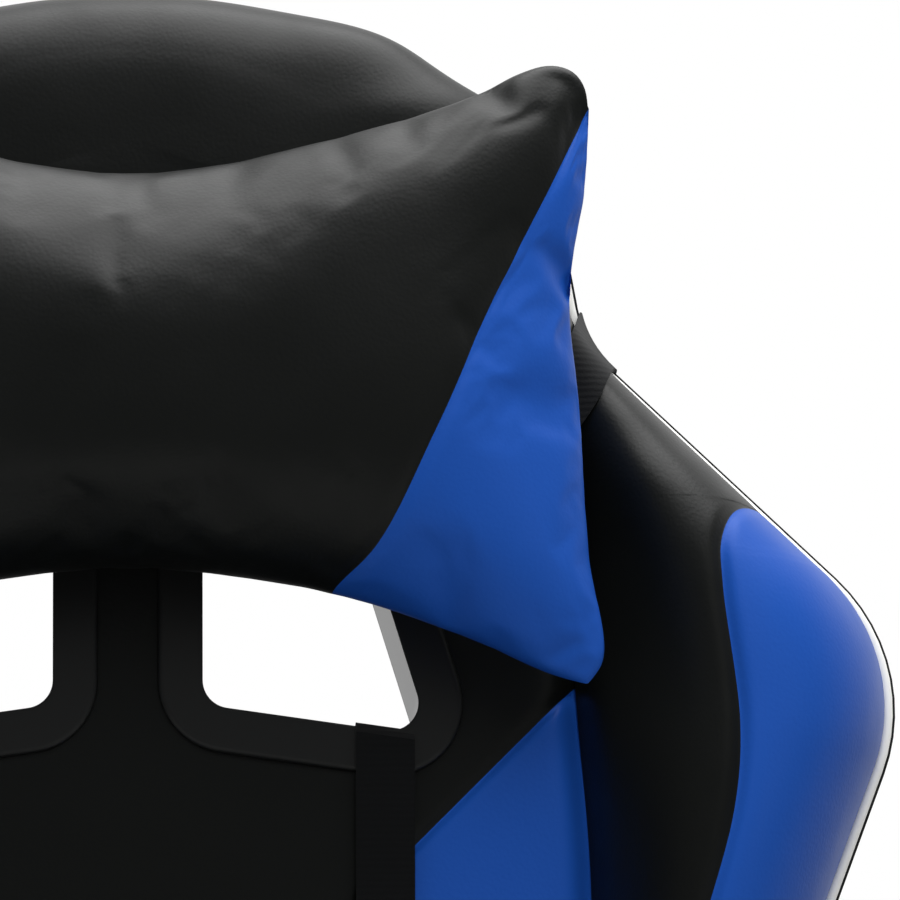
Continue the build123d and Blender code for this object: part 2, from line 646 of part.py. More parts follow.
skirt_z = RAIL_Z + 2
nose_y = CUSHION_FRONT_Y + 8
bolster = loft([
    bolster_section(nose_y, BOLSTER_OUT_X - 26, skirt_z + 14, 44, 66, 46),
    bolster_section(nose_y + 4, BOLSTER_OUT_X - 17, skirt_z + 6, 30, 49, 32),
    bolster_section(nose_y + 12, BOLSTER_OUT_X - 9, skirt_z + 1, 16, 32, 20),
    bolster_section(nose_y + 26, BOLSTER_OUT_X - 4, skirt_z, 7, 19, 11),
    bolster_section(nose_y + 64, BOLSTER_OUT_X, skirt_z, 2, 6, 4),
    bolster_section(nose_y + 134, BOLSTER_OUT_X, skirt_z, 0, 0, 0),
    bolster_section(nose_y + 264, BOLSTER_OUT_X, skirt_z, 0, 2, 0),
    bolster_section(BOLSTER_REAR_Y - 30, BOLSTER_OUT_X - 3, skirt_z, 0, 8, 4),
    bolster_section(BOLSTER_REAR_Y - 10, BOLSTER_OUT_X - 9, skirt_z, 0, 14, 10),
    bolster_section(BOLSTER_REAR_Y, BOLSTER_OUT_X - 20, skirt_z + 6, 0, 22, 20),
], ruled=True)
bolster -= block(0, RAIL_OUT_X + FIT, lip_y, 400, 0, CUSHION_Z)
rear_out = BRACKET_X - 6
bolster += loft([
    bolster_section(BOLSTER_REAR_Y - 30, rear_out, CUSHION_Z, 0, 26, 0),
    bolster_section(BOLSTER_REAR_Y + 40, rear_out, CUSHION_Z, 0, 30, 0),
    bolster_section(CUSHION_REAR_Y - 14, rear_out - 3, CUSHION_Z + 2, 6, 40, 8),
    bolster_section(CUSHION_REAR_Y, rear_out - 10, CUSHION_Z + 10, 24, 64, 24),
], ruled=True)
save_pair("seat_bolster", bolster)

# Lower hinge plates with their pins, and the covers over them
foot_z = RAIL_Z
foot = make_face(Polyline(
    (HINGE_FOOT_Y, foot_z), (FRAME_REAR_Y, foot_z),
    (HINGE_Y + HINGE_DISC_R * 0.8, HINGE_Z - HINGE_DISC_R * 0.6),
    (HINGE_Y, HINGE_Z), (HINGE_Y - HINGE_DISC_R * 0.8, HINGE_Z - HINGE_DISC_R * 0.1),
    (HINGE_FOOT_Y, foot_z + RAIL_W + 8), close=True))
hinge_face = foot + Pos(HINGE_Y, HINGE_Z) * Circle(HINGE_DISC_R)
hinge = plate_x(hinge_face, HINGE_PLATE_X, HINGE_PLATE_X + HINGE_PLATE_T)
hinge += pin_x(HINGE_PIN_R, BRACKET_X, HINGE_PLATE_X + 1, HINGE_Y, HINGE_Z)
for y in HINGE_BOLT_Y:
    hinge -= pin_x(BOLT_R + RUN, HINGE_PLATE_X - 1, HINGE_PLATE_X + HINGE_PLATE_T + 1, y, hinge_bolt_z)
save_pair("hinge_plate", hinge)
cover_face = offset(hinge_face, amount=HINGE_COVER_RIM)
cover = plate_x(cover_face, HINGE_COVER_X, HINGE_OUT_X)
cover = fillet(cover.faces().sort_by(Axis.X)[-1].edges(), HINGE_COVER_EDGE_R)
pocket_face = offset(hinge_face, amount=HINGE_COVER_RIM - HINGE_COVER_WALL)
cover -= plate_x(pocket_face, HINGE_COVER_X, HINGE_OUT_X - HINGE_COVER_T / 2)
cover += pin_x(HINGE_BOSS_R, HINGE_COVER_X, HINGE_OUT_X - HINGE_COVER_T / 2 + 1, HINGE_Y, HINGE_Z)
save_pair("hinge_cover", cover)

# Recliner hand lever on the sitter's right
hub_x0 = HINGE_OUT_X + FIT
hub_x1 = hub_x0 + RECLINE_HUB_T
arm_x0 = hub_x0 + (RECLINE_HUB_T - RECLINE_ARM_T)
arm_face = SlotCenterToCenter(RECLINE_ARM_L, RECLINE_ARM_W)
arm_face = Pos(HINGE_Y, HINGE_Z) * Rot(0, 0, 180 - RECLINE_ARM_DEG) * Pos(RECLINE_ARM_L / 2, 0) * arm_face
recline = pin_x(RECLINE_HUB_R, hub_x0, hub_x1, HINGE_Y, HINGE_Z)
recline += plate_x(arm_face, arm_x0, hub_x1)
recline = fillet(recline.faces().sort_by(Axis.X)[-1].edges(), 3)
save("recline_lever", mirror(recline, about=Plane.YZ))

# Armrests: flat bar under the rail, post, sliding sleeve, pad and button
bar_out = ARM_X + POST_W / 2
arm = block(
    ARM_BAR_IN_X, bar_out, ARM_Y - ARM_BAR_W / 2, ARM_Y + ARM_BAR_W / 2, ARM_BAR_Z, ARM_BAR_Z + ARM_BAR_T)
arm = fillet(arm.edges().filter_by(Axis.Z), 8)
post_face = Pos(ARM_X, ARM_Y) * SlotOverall(POST_D, POST_W, rotation=90)
arm += extrude(Pos(0, 0, ARM_BAR_Z + 1) * post_face, amount=POST_TOP_Z - ARM_BAR_Z - 1)
post_bore = Pos(ARM_X, ARM_Y) * SlotOverall(POST_D - 2 * POST_WALL, POST_W - 2 * POST_WALL, rotation=90)
arm -= extrude(Pos(0, 0, ARM_BAR_Z + ARM_BAR_T) * post_bore, amount=POST_TOP_Z)
for x, y in arm_bolt_spots:
    arm -= disc(BOLT_R + RUN, ARM_BAR_Z - 1, ARM_BAR_Z + ARM_BAR_T + 1, x, y)
save_pair("arm_bracket", arm)
sleeve_slot = SlotOverall(POST_D + 2 * SLEEVE_WALL, POST_W + 2 * SLEEVE_WALL, rotation=90)
sleeve_face = Pos(ARM_X, ARM_Y) * sleeve_slot
bore_face = Pos(ARM_X, ARM_Y) * SlotOverall(POST_D + 2 * FIT, POST_W + 2 * FIT, rotation=90)
sleeve = extrude(Pos(0, 0, SLEEVE_FOOT_Z) * sleeve_face, amount=SLEEVE_TOP_Z - SLEEVE_FOOT_Z)
roof = block(ARM_X - 30, ARM_X + 30, ARM_Y - 80, ARM_Y + 60, SLEEVE_TOP_Z - SLEEVE_ROOF, SLEEVE_TOP_Z)
roof = fillet(roof.edges().filter_by(Axis.Z), 18)
sleeve += roof
sleeve -= extrude(Pos(0, 0, SLEEVE_FOOT_Z) * bore_face, amount=POST_TOP_Z + FIT - SLEEVE_FOOT_Z)
sleeve_out = ARM_X + POST_W / 2 + SLEEVE_WALL
button_in = sleeve_out - BUTTON_T + BUTTON_TRAVEL
button_y = (ARM_Y - BUTTON_W / 2, ARM_Y + BUTTON_W / 2)
button_low = POST_TOP_Z + 2
room_in = button_in - BUTTON_TRAVEL - FIT
button_room = block(room_in, sleeve_out + 1, button_y[0] - FIT, button_y[1] + FIT,
                    button_low - FIT, button_low + BUTTON_H + FIT)
sleeve -= button_room
save_pair("arm_sleeve", sleeve)
button = block(button_in, button_in + BUTTON_T, *button_y, button_low, button_low + BUTTON_H)
save_pair("arm_button", fillet(button.faces().sort_by(Axis.X)[-1].edges(), 1.5))
pad_z = SLEEVE_TOP_Z + FIT
pad = Pos(ARM_X, ARM_Y + ARM_PAD_SHIFT_Y, pad_z) * extrude(
    RectangleRounded(ARM_PAD_W, ARM_PAD_L, ARM_PAD_W * 0.42), amount=ARM_PAD_T)
pad = fillet(pad.faces().sort_by(Axis.Z)[-1].edges(), ARM_PAD_EDGE_R)
save_pair("arm_pad", pad)

# Backrest faces, drawn flat and leaned back about the hinge when saved
right_points = [
    (BACK_LOW_X, BACK_BOTTOM_V), (BACK_LOW_X, BACK_LOW_V), (WAIST_X, WAIST_V), (TIP_X, TIP_V),
    (NECK_X, NECK_V), (HEAD_X, HEAD_V), (TOP_FLAT_X, TOP_V),
]
right_radii = [BOTTOM_R, LOW_R, WAIST_R, TIP_R, NECK_R, HEAD_R, TOP_R]
left_points = [(-x, v) for x, v in reversed(right_points)]
back_face = outline(right_points + left_points, right_radii + list(reversed(right_radii)))
window = outline(WINDOW_POINTS, WINDOW_R)
window_hole = offset(window, amount=SLEEVE_T + FIT)
pad_inset = PIPING_INSET + 2 * PIPING_R + 2 * FIT
pad_face = offset(back_face, amount=-pad_inset)


def both_windows(face, y0, y1):
    right = slab(face, y0, y1)
    return right + mirror(right, about=Plane.YZ)


# Rear cover: a tray with a pocket for the frame
shell = slab(back_face, FIT, SHELL_D)
shell = fillet(shell.faces().sort_by(Axis.Y)[-1].edges(), SHELL_EDGE_R)
pocket_depth = SHELL_D - SHELL_FLOOR
pocket_wall = both_windows(offset(window_hole, amount=SHELL_RIM), 0, SHELL_D)
shell -= slab(offset(back_face, amount=-SHELL_RIM), FIT, pocket_depth) - pocket_wall
shell -= both_windows(window_hole, -1, SHELL_D + 1)

# Tubular frame: one bent loop with two cross tubes, ends beside the brackets
frame_w = pocket_depth - FRAME_R - FIT
frame_x = BACK_LOW_X - SHELL_RIM - FRAME_R - FIT
frame_low = BACK_BOTTOM_V + BOTTOM_R + FIT
loop_points = [
    (frame_x, frame_low), (frame_x, WAIST_V), (NECK_X - 28, NECK_V - 20), (HEAD_X - 34, HEAD_V - 18),
]
loop_points += [(-x, v) for x, v in reversed(loop_points)]
loop = Plane.XZ.offset(-frame_w) * FilletPolyline(*loop_points, radius=40)
loop_end = Plane(origin=loop @ 0, z_dir=loop % 0)
back_tube = sweep(loop_end * Circle(FRAME_R), path=loop)
back_bore = sweep(loop_end * Circle(FRAME_R - FRAME_WALL), path=loop)
for v in (BACK_LOW_V, WAIST_V - 20):
    back_tube += pin_x(FRAME_R - 2, -frame_x, frame_x, frame_w, v)
back_tube -= back_bore

# Brackets and bolts that tie the frame to the hinges
bracket_face = Pos(0, 0) * Circle(HINGE_DISC_R)
arm_outline = make_face(Polyline(
    (-HINGE_DISC_R * 0.7, 0), (HINGE_DISC_R * 0.9, 0), (BRACKET_W + BRACKET_HALF_W, BRACKET_TOP_V),
    (BRACKET_W - BRACKET_HALF_W, BRACKET_TOP_V), close=True))
bracket_face += arm_outline
bracket = plate_x(bracket_face, BRACKET_X, BRACKET_X + HINGE_PLATE_T)
bracket -= pin_x(HINGE_PIN_R + RUN, BRACKET_X - 1, BRACKET_X + HINGE_PLATE_T + 1, 0, 0)
bolt_in = frame_x
bolt_out = BRACKET_X + HINGE_PLATE_T
back_bolts = []
for v in BACK_BOLT_V:
    hole = pin_x(BOLT_R + RUN, bolt_in - FIT, bolt_out + 1, frame_w, v)
    bracket -= hole
    back_tube -= hole + mirror(hole, about=Plane.YZ)
    shell -= hole + mirror(hole, about=Plane.YZ)
    bolt = pin_x(BOLT_R, bolt_in, bolt_out + RUN + 1, frame_w, v)
    bolt += pin_x(BOLT_HEAD_R, bolt_out + RUN, bolt_out + BOLT_HEAD_T, frame_w, v)
    back_bolts += [bolt, mirror(bolt, about=Plane.YZ)]
save("back_shell", BACK_PLACE * shell)
save("back_frame", BACK_PLACE * back_tube)
save("back_brackets", BACK_PLACE * bracket, BACK_PLACE * mirror(bracket, about=Plane.YZ))
save("back_bolts", *[BACK_PLACE * b for b in back_bolts])

# Piping along the rim of the cover
piping_path = offset(back_face, amount=-(PIPING_INSET + PIPING_R)).wire()
piping_path = Plane.XZ.offset(PIPING_R + RUN - FIT) * piping_path
piping_end = Plane(origin=piping_path @ 0, z_dir=piping_path % 0)
save("back_piping", BACK_PLACE * sweep(piping_end * Circle(PIPING_R), path=piping_path))


# Wings: rolls that swell towards the shoulder, trimmed to the outline
def half_width(v):
    for (x0, v0), (x1, v1) in zip(right_points, right_points[1:]):
        if v0 <= v <= v1:
            return x0 + (x1 - x0) * (v - v0) / (v1 - v0)
    return right_points[-1][0]


def wing_section(v, seam, seam_t, peak_t, edge_t):
    out = half_width(v) + 4
    start = Line((seam, 0), (seam, -seam_t))
    peak = (seam + 0.56 * (out - seam), -peak_t)
    crown = ThreePointArc((seam, -seam_t), peak, (out, -edge_t))
    edge = Line((out, -edge_t), (out, 0))
    floor = Line((out, 0), (seam, 0))
    return Plane.XY.offset(v) * make_face([start, crown, edge, floor])


wing = loft([wing_section(*s) for s in WING_SECTIONS], ruled=True)
wing &= slab(pad_face, -150, 0)
save("wing_left", BACK_PLACE * wing)
save("wing_right", BACK_PLACE * mirror(wing, about=Plane.YZ))

# Centre panel and head roll in one pad, with the two windows through it
seam_points = [(seam - FIT, v) for v, seam, _, _, _ in WING_SECTIONS]
seam_points.insert(0, (seam_points[0][0], BACK_BOTTOM_V - 5))
seam_points.append((seam_points[-1][0], HEAD_PAD_V + 20))
seam_points += [(-x, v) for x, v in reversed(seam_points)]
centre_face = pad_face & make_face(Polyline(*seam_points, close=True))
head_box = Pos(0, (HEAD_PAD_V + TOP_V + 50) / 2) * Rectangle(2 * TIP_X, TOP_V + 50 - HEAD_PAD_V)
head_face = pad_face & head_box
back_pad = slab(centre_face, -PAD_T, 0)
head_pad = slab(head_face, -HEAD_PAD_T, 0)
head_pad = fillet(head_pad.faces().sort_by(Axis.Y)[0].edges(), HEAD_EDGE_R)
back_pad += head_pad
back_pad -= both_windows(window_hole, -HEAD_PAD_T - 1, 1)
back_pad -= both_windows(offset(window, amount=BEZEL_W + FIT), -HEAD_PAD_T - 1, -PAD_T)
save("back_pad", BACK_PLACE * back_pad)

# Window bezels: front ring with its sleeve, and a flat rear ring
front_w = -PAD_T - FIT
ring = slab(offset(window, amount=BEZEL_W), front_w - BEZEL_T, front_w)
ring = fillet(ring.faces().sort_by(Axis.Y)[0].edges(), 2)
ring += slab(offset(window, amount=SLEEVE_T), front_w - 1, SHELL_D)
ring -= slab(window, front_w - BEZEL_T - 1, SHELL_D + 1)
rear_ring = slab(offset(window, amount=REAR_RING_W), SHELL_D + FIT, SHELL_D + FIT + REAR_RING_T)
rear_ring -= slab(window, SHELL_D, SHELL_D + FIT + REAR_RING_T)
save("bezel_left", BACK_PLACE * ring, BACK_PLACE * rear_ring)
right_ring = mirror(ring, about=Plane.YZ)
right_rear_ring = mirror(rear_ring, about=Plane.YZ)
save("bezel_right", BACK_PLACE * right_ring, BACK_PLACE * right_rear_ring)

# Head strap: a closed elastic band round the neck of the backrest
band = Pos(0, HEAD_STRAP_V + HEAD_STRAP_W / 2) * Rectangle(2 * TIP_X, HEAD_STRAP_W)
neck_front = -max([HEAD_PAD_T] + [s[3] for s in WING_SECTIONS if s[0] > HEAD_STRAP_V - 10]) - FIT
band_face = offset(back_face, amount=FIT + STRAP_T) & band
band_out = slab(band_face, neck_front - STRAP_T, SHELL_D + FIT + STRAP_T)
band_in = slab(offset(back_face, amount=FIT), neck_front, SHELL_D + FIT)
save("head_strap", BACK_PLACE * (band_out - band_in))

# Lumbar straps: each loops through its window and under the backrest
bezel_front = front_w - BEZEL_T - FIT
ring_rear = SHELL_D + 2 * FIT + REAR_RING_T
share = (LUMBAR_STRAP_X - WINDOW_IN_X) / (WINDOW_OUT_X - WINDOW_IN_X)
sill_v = WINDOW_IN_V + (WINDOW_LOW_V - WINDOW_IN_V) * share
sill_v += LUMBAR_STRAP_W / 2 * (WINDOW_IN_V - WINDOW_LOW_V) / (WINDOW_OUT_X - WINDOW_IN_X) + SILL_LIFT
bezel_low_v = WINDOW_LOW_V - BEZEL_W - STRAP_BEND_V
ring_low_v = WINDOW_LOW_V - REAR_RING_W - STRAP_BEND_V
fall_v = bezel_low_v - STRAP_DROP_V
strap_points = [
    (bezel_front, sill_v), (bezel_front, bezel_low_v), (front_w, fall_v),
    (front_w, BACK_BOTTOM_V - FIT), (SHELL_D + FIT, BACK_BOTTOM_V - FIT),
    (SHELL_D + FIT, fall_v), (ring_rear, ring_low_v), (ring_rear, sill_v),
]
strap_in = make_face(Polyline(*strap_points, close=True))
strap_face = offset(strap_in, amount=STRAP_T, kind=Kind.INTERSECTION) - strap_in
strap = plate_x(strap_face, LUMBAR_STRAP_X - LUMBAR_STRAP_W / 2, LUMBAR_STRAP_X + LUMBAR_STRAP_W / 2)
save("lumbar_straps", BACK_PLACE * strap, BACK_PLACE * mirror(strap, about=Plane.YZ))

# Pillows
save("head_pillow", BACK_PLACE * pillow(
    HEAD_PILLOW_HALF_W, HEAD_STRAP_V - HEAD_PILLOW_BELOW, HEAD_STRAP_V + HEAD_PILLOW_ABOVE,
    HEAD_PILLOW_EAR, HEAD_PILLOW_T,
    neck_front - STRAP_T - FIT))
save("lumbar_pillow", BACK_PLACE * pillow(
    LUMBAR_HALF_W, LUMBAR_LOW_V, LUMBAR_TOP_V, LUMBAR_EAR, LUMBAR_T, front_w))

# Seat bolts: plate to cross bars, hinge plates and arm bars to the rails
seat_bolts = []
for x, y in seat_bolt_spots:
    screw = disc(BOLT_R, PLATE_Z - 1, RAIL_Z + CROSS_BAR_H, x, y)
    seat_bolts.append(screw + disc(BOLT_HEAD_R, PLATE_Z - BOLT_HEAD_T, PLATE_Z - RUN, x, y))
for x, y in arm_bolt_spots:
    screw = disc(BOLT_R, ARM_BAR_Z - 1, arm_bolt_top, x, y)
    screw += disc(BOLT_HEAD_R, ARM_BAR_Z - BOLT_HEAD_T, ARM_BAR_Z - RUN, x, y)
    seat_bolts += [screw, mirror(screw, about=Plane.YZ)]
hinge_face_x = HINGE_PLATE_X + HINGE_PLATE_T
for y in HINGE_BOLT_Y:
    screw = pin_x(BOLT_R, hinge_bolt_in, hinge_face_x + 1, y, hinge_bolt_z)
    screw += pin_x(BOLT_HEAD_R, hinge_face_x + RUN, hinge_face_x + BOLT_HEAD_T, y, hinge_bolt_z)
    seat_bolts += [screw, mirror(screw, about=Plane.YZ)]
save("seat_bolts", *seat_bolts)
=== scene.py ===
"""Gaming chair with a winged backrest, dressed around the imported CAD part.

The sections follow the chair as it is put together, from the floor to the head pillow.
Sizes are in millimetres and become metres where a mesh is made.
"""
import math

import bmesh
import bpy
import numpy as np
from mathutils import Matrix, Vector
from mathutils.bvhtree import BVHTree


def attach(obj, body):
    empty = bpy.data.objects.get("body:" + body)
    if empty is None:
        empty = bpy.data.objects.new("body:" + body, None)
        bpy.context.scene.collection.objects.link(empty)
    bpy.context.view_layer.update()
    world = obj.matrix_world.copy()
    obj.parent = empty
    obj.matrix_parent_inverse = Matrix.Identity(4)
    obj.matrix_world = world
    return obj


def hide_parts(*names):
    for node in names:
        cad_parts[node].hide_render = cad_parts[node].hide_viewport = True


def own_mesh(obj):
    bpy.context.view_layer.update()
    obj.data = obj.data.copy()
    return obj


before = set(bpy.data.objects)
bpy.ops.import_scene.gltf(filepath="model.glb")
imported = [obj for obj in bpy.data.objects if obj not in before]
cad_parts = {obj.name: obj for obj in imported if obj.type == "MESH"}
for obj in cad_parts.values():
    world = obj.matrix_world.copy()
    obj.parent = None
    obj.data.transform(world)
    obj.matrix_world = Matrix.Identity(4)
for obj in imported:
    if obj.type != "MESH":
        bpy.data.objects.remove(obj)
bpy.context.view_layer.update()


# ---- Star base and casters ------------------------------------------------------------
# Five-armed base, hoods and twin wheels, injection moulded in glass-filled nylon.
# The hoods turn on steel stems pressed into the base, and each wheel pair runs on one axle.
def linear(hex_colour):
    """An sRGB hex colour as the linear RGBA that a socket takes."""
    srgb = [int(hex_colour[i:i + 2], 16) / 255 for i in (1, 3, 5)]
    return [c / 12.92 if c <= 0.04045 else ((c + 0.055) / 1.055) ** 2.4 for c in srgb] + [1.0]


def wire(tree, kind, inputs=None, **settings):
    """Add one node: its settings, then its sockets, from a value or from another socket."""
    made = tree.nodes.new(kind)
    for key, value in settings.items():
        setattr(made, key, value)
    for key, value in (inputs or {}).items():
        if isinstance(value, bpy.types.NodeSocket):
            tree.links.new(value, made.inputs[key])
        else:
            made.inputs[key].default_value = value
    return made


def finish_of(name, colour, roughness, **sockets):
    """A new material with its main shader set, and its node tree."""
    made = bpy.data.materials.new(name)
    made.use_nodes = True
    shader = made.node_tree.nodes["Principled BSDF"]
    shader.inputs["Base Color"].default_value = linear(colour)
    shader.inputs["Roughness"].default_value = roughness
    for key, value in sockets.items():
        shader.inputs[key.replace("_", " ")].default_value = value
    return made, made.node_tree, shader


def moulded(name, colour, roughness, grit_mm, depth_mm, edge_mm=0.6, gloss=0.5):
    """Moulded plastic: spark-eroded grit from the tool and softly broken edges."""
    made, tree, shader = finish_of(name, colour, roughness, IOR=1.5, Specular_IOR_Level=gloss)
    place = wire(tree, "ShaderNodeTexCoord")
    grit = wire(tree, "ShaderNodeTexNoise", {
        "Vector": place.outputs["Object"], "Scale": 1000 / grit_mm, "Detail": 2.0})
    edge = wire(tree, "ShaderNodeBevel", {"Radius": edge_mm / 1000}, samples=4)
    bump = wire(tree, "ShaderNodeBump", {
        "Height": grit.outputs["Fac"], "Strength": 0.25, "Distance": depth_mm / 1000,
        "Normal": edge.outputs["Normal"]})
    tree.links.new(bump.outputs["Normal"], shader.inputs["Normal"])
    return made


def dress(material, *names):
    """Give CAD nodes a finish. Their meshes stay as they are."""
    for name in names:
        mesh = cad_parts[name].data
        mesh.materials.clear()
        mesh.materials.append(material)


# Glass-filled nylon leaves the tool satin, with a fine even grit.
base_nylon = moulded("glass_filled_nylon_moulded", "#17181a", 0.46, grit_mm=0.9, depth_mm=0.05,
                     edge_mm=1.2)
# Wheel treads are the same nylon, worn a little shinier.
tread_nylon = moulded("nylon_tread_moulded", "#1c1d1e", 0.38, grit_mm=0.7, depth_mm=0.03)
dress(base_nylon, "star_base", *(f"caster_hood_{i}" for i in range(1, 6)))
dress(tread_nylon, *(f"caster_wheels_{i}" for i in range(1, 6)))


# ---- Column, gas lift and covers ------------------------------------------------------
# Steel tube in the base's hub, ground steel cylinder and rod, and a plastic guide bush.
# Two telescopic ABS covers hide them and slide in one another as the seat rises.
def metal(name, colour, roughness, grain_mm):
    """Bare steel, ground or drawn: fine lines round the bar stretch its highlights."""
    made, tree, shader = finish_of(name, colour, roughness, Metallic=1.0)
    place = wire(tree, "ShaderNodeTexCoord")
    stretch = wire(tree, "ShaderNodeMapping", {
        "Vector": place.outputs["Object"], "Scale": (0.05, 0.05, 1.0)})
    lines = wire(tree, "ShaderNodeTexNoise", {
        "Vector": stretch.outputs["Vector"], "Scale": 1000 / grain_mm, "Detail": 3.0})
    bump = wire(tree, "ShaderNodeBump", {
        "Height": lines.outputs["Fac"], "Strength": 0.2, "Distance": 0.00003})
    tree.links.new(bump.outputs["Normal"], shader.inputs["Normal"])
    return made


# Ground steel: bright and slightly brushed round its length.
bright_steel = metal("steel_ground", "#b4b7ba", 0.26, grain_mm=0.6)
# Satin ABS: black, a little smoother than the nylon.
satin_abs = moulded("abs_satin_moulded", "#121314", 0.36, grit_mm=0.6, depth_mm=0.02, edge_mm=0.9)
# Acetal bush: dull and waxy.
acetal = moulded("acetal_bush_moulded", "#242526", 0.5, grit_mm=0.6, depth_mm=0.02)
dress(bright_steel, "gas_cylinder", "piston_rod", "thrust_bearing", "caster_stems")
dress(satin_abs, "column_cover_middle", "column_cover_upper")
dress(acetal, "column_bush")


# ---- Tilt mechanism, levers and tension knob ------------------------------------------
# Pressed steel housing and plate, welded and powder coated, hinged on one ground pin.
# A coil spring sets the rocking, the knob loads it, and the side lever works the gas lift.
def grid_faces(rows, cols):
    """Quads of a rows by cols grid, in index form."""
    at = np.arange(rows * cols).reshape(rows, cols)
    return np.stack([at[:-1, :-1], at[:-1, 1:], at[1:, 1:], at[1:, :-1]], -1).reshape(-1, 4)


def mesh_piece(name, points, faces, face_finish, finishes, merge_mm=0.02, sharp_deg=55):
    """A shaded mesh object from points in metres. Points that meet are merged."""
    mesh = bpy.data.meshes.new(name)
    mesh.from_pydata(points.tolist(), [], faces.tolist())
    mesh.polygons.foreach_set("material_index", np.asarray(face_finish, np.int32))
    for finish in finishes:
        mesh.materials.append(finish)
    work = bmesh.new()
    work.from_mesh(mesh)
    bmesh.ops.remove_doubles(work, verts=work.verts, dist=merge_mm / 1000)
    bmesh.ops.recalc_face_normals(work, faces=work.faces)
    work.to_mesh(mesh)
    work.free()
    mesh.shade_smooth()
    mesh.set_sharp_from_angle(angle=math.radians(sharp_deg))
    piece = bpy.data.objects.new(name, mesh)
    bpy.context.scene.collection.objects.link(piece)
    return piece


def lofted(name, rings, finishes, tint=None, caps=True, **options):
    """A closed form from rings of points in metres. tint: each step round a ring's finish."""
    if caps:
        ends = [np.broadcast_to(r.mean(0), r.shape)[None] for r in (rings[0], rings[-1])]
        rings = np.concatenate([ends[0], rings, ends[1]])
    rows, cols = rings.shape[:2]
    tint = np.tile(np.zeros(cols - 1, int) if tint is None else tint, (rows - 1, 1))
    if caps:
        tint[[0, -1]] = 0
    return mesh_piece(name, rings.reshape(-1, 3), grid_faces(rows, cols), tint.ravel(),
                      finishes, **options)


# Powder coat flows out to a soft orange peel a few millimetres across.
powder_coat = moulded("powder_coated_steel", "#161718", 0.42, grit_mm=2.2, depth_mm=0.06,
                      edge_mm=0.8)
# Blackened bolts: oxide over steel, dull, with a metal's dark highlight.
black_oxide = metal("steel_black_oxide", "#3a3c3e", 0.42, grain_mm=0.5)
dress(powder_coat, "tilt_housing", "tilt_plate", "column_tube", "lever_pivot", "lever_rod")
dress(bright_steel, "tilt_pin")
dress(satin_abs, "tension_knob", "lever_paddle")

# The spring is wound from round wire, with a flat turn at each end, and is pressed
# together by the knob as the seat rocks back.
SPRING_Y, SPRING_LOW, SPRING_HIGH = -85.0, 298.3, 340.2
SPRING_R, SPRING_WIRE, SPRING_TURNS, SPRING_FLAT = 14.0, 3.5, 5.5, 0.6
turn = np.linspace(0, SPRING_TURNS, 220)[:, None]
round_wire = np.linspace(0, 2 * math.pi, 15)[None]
risen = np.clip((turn - SPRING_FLAT) / (SPRING_TURNS - 2 * SPRING_FLAT), 0, 1)
reach = SPRING_R - SPRING_WIRE / 2 + SPRING_WIRE / 2 * np.cos(round_wire)
coil_points = np.stack(np.broadcast_arrays(
    reach * np.cos(2 * math.pi * turn),
    SPRING_Y + reach * np.sin(2 * math.pi * turn),
    SPRING_LOW + SPRING_WIRE / 2 + risen * (SPRING_HIGH - SPRING_LOW - SPRING_WIRE)
    + SPRING_WIRE / 2 * np.sin(round_wire)), -1)
coil = lofted("tilt_spring_wound", coil_points / 1000, [bright_steel])
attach(coil, "lift")
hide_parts("tilt_spring")
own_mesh(coil)

# ---- Seat frame and webbing -----------------------------------------------------------
# Square steel tubes welded to a ring and powder coated, bolted to the tilt plate.
# Elastic webbing is stretched across it under the foam.
RIB_MM = 2.4                  # weft pitch, drawn about twice as coarse so that it shows
BANDS_PER_SCALE = math.pi     # a wave texture's bands to the metre, at a scale of 1


def woven(name, colour, rib_mm, along):
    """Woven webbing: raised weft ribs across the band, matt, with fuzzy yarn."""
    made, tree, shader = finish_of(name, colour, 0.82, IOR=1.46, Specular_IOR_Level=0.2)
    shader.inputs["Sheen Weight"].default_value = 0.06
    shader.inputs["Sheen Roughness"].default_value = 0.5
    place = wire(tree, "ShaderNodeTexCoord")
    turned = wire(tree, "ShaderNodeMapping", {
        "Vector": place.outputs["Object"], "Rotation": along})
    ribs = wire(tree, "ShaderNodeTexWave", {
        "Vector": turned.outputs["Vector"], "Scale": 1000 / rib_mm / BANDS_PER_SCALE,
        "Distortion": 0.6, "Detail": 1.0, "Detail Scale": 3.0}, bands_direction="Z")
    yarn = wire(tree, "ShaderNodeTexNoise", {
        "Vector": place.outputs["Object"], "Scale": 1000 / 0.9, "Detail": 2.0})
    cloth = wire(tree, "ShaderNodeMath", {0: ribs.outputs["Fac"], 1: yarn.outputs["Fac"]},
                 operation="ADD")
    bump = wire(tree, "ShaderNodeBump", {
        "Height": cloth.outputs["Value"], "Strength": 0.4, "Distance": 0.0002})
    tree.links.new(bump.outputs["Normal"], shader.inputs["Normal"])
    return made


elastic_webbing = woven("elastic_webbing_woven", "#15161a", RIB_MM, (0, math.pi / 2, 0))
dress(powder_coat, "seat_frame")
dress(elastic_webbing, "seat_webbing")
dress(black_oxide, "seat_bolts", "back_bolts")


# ---- Seat cushion ---------------------------------------------------------------------
# Moulded foam under black coated leathercloth, sewn from a centre panel and two side
# panels, with a front apron that wraps down over the frame and is stapled beneath.
GRAIN_MM, LUMP_MM = 1.3, 45   # embossed pebbles, and unevenness of the foam under the cloth


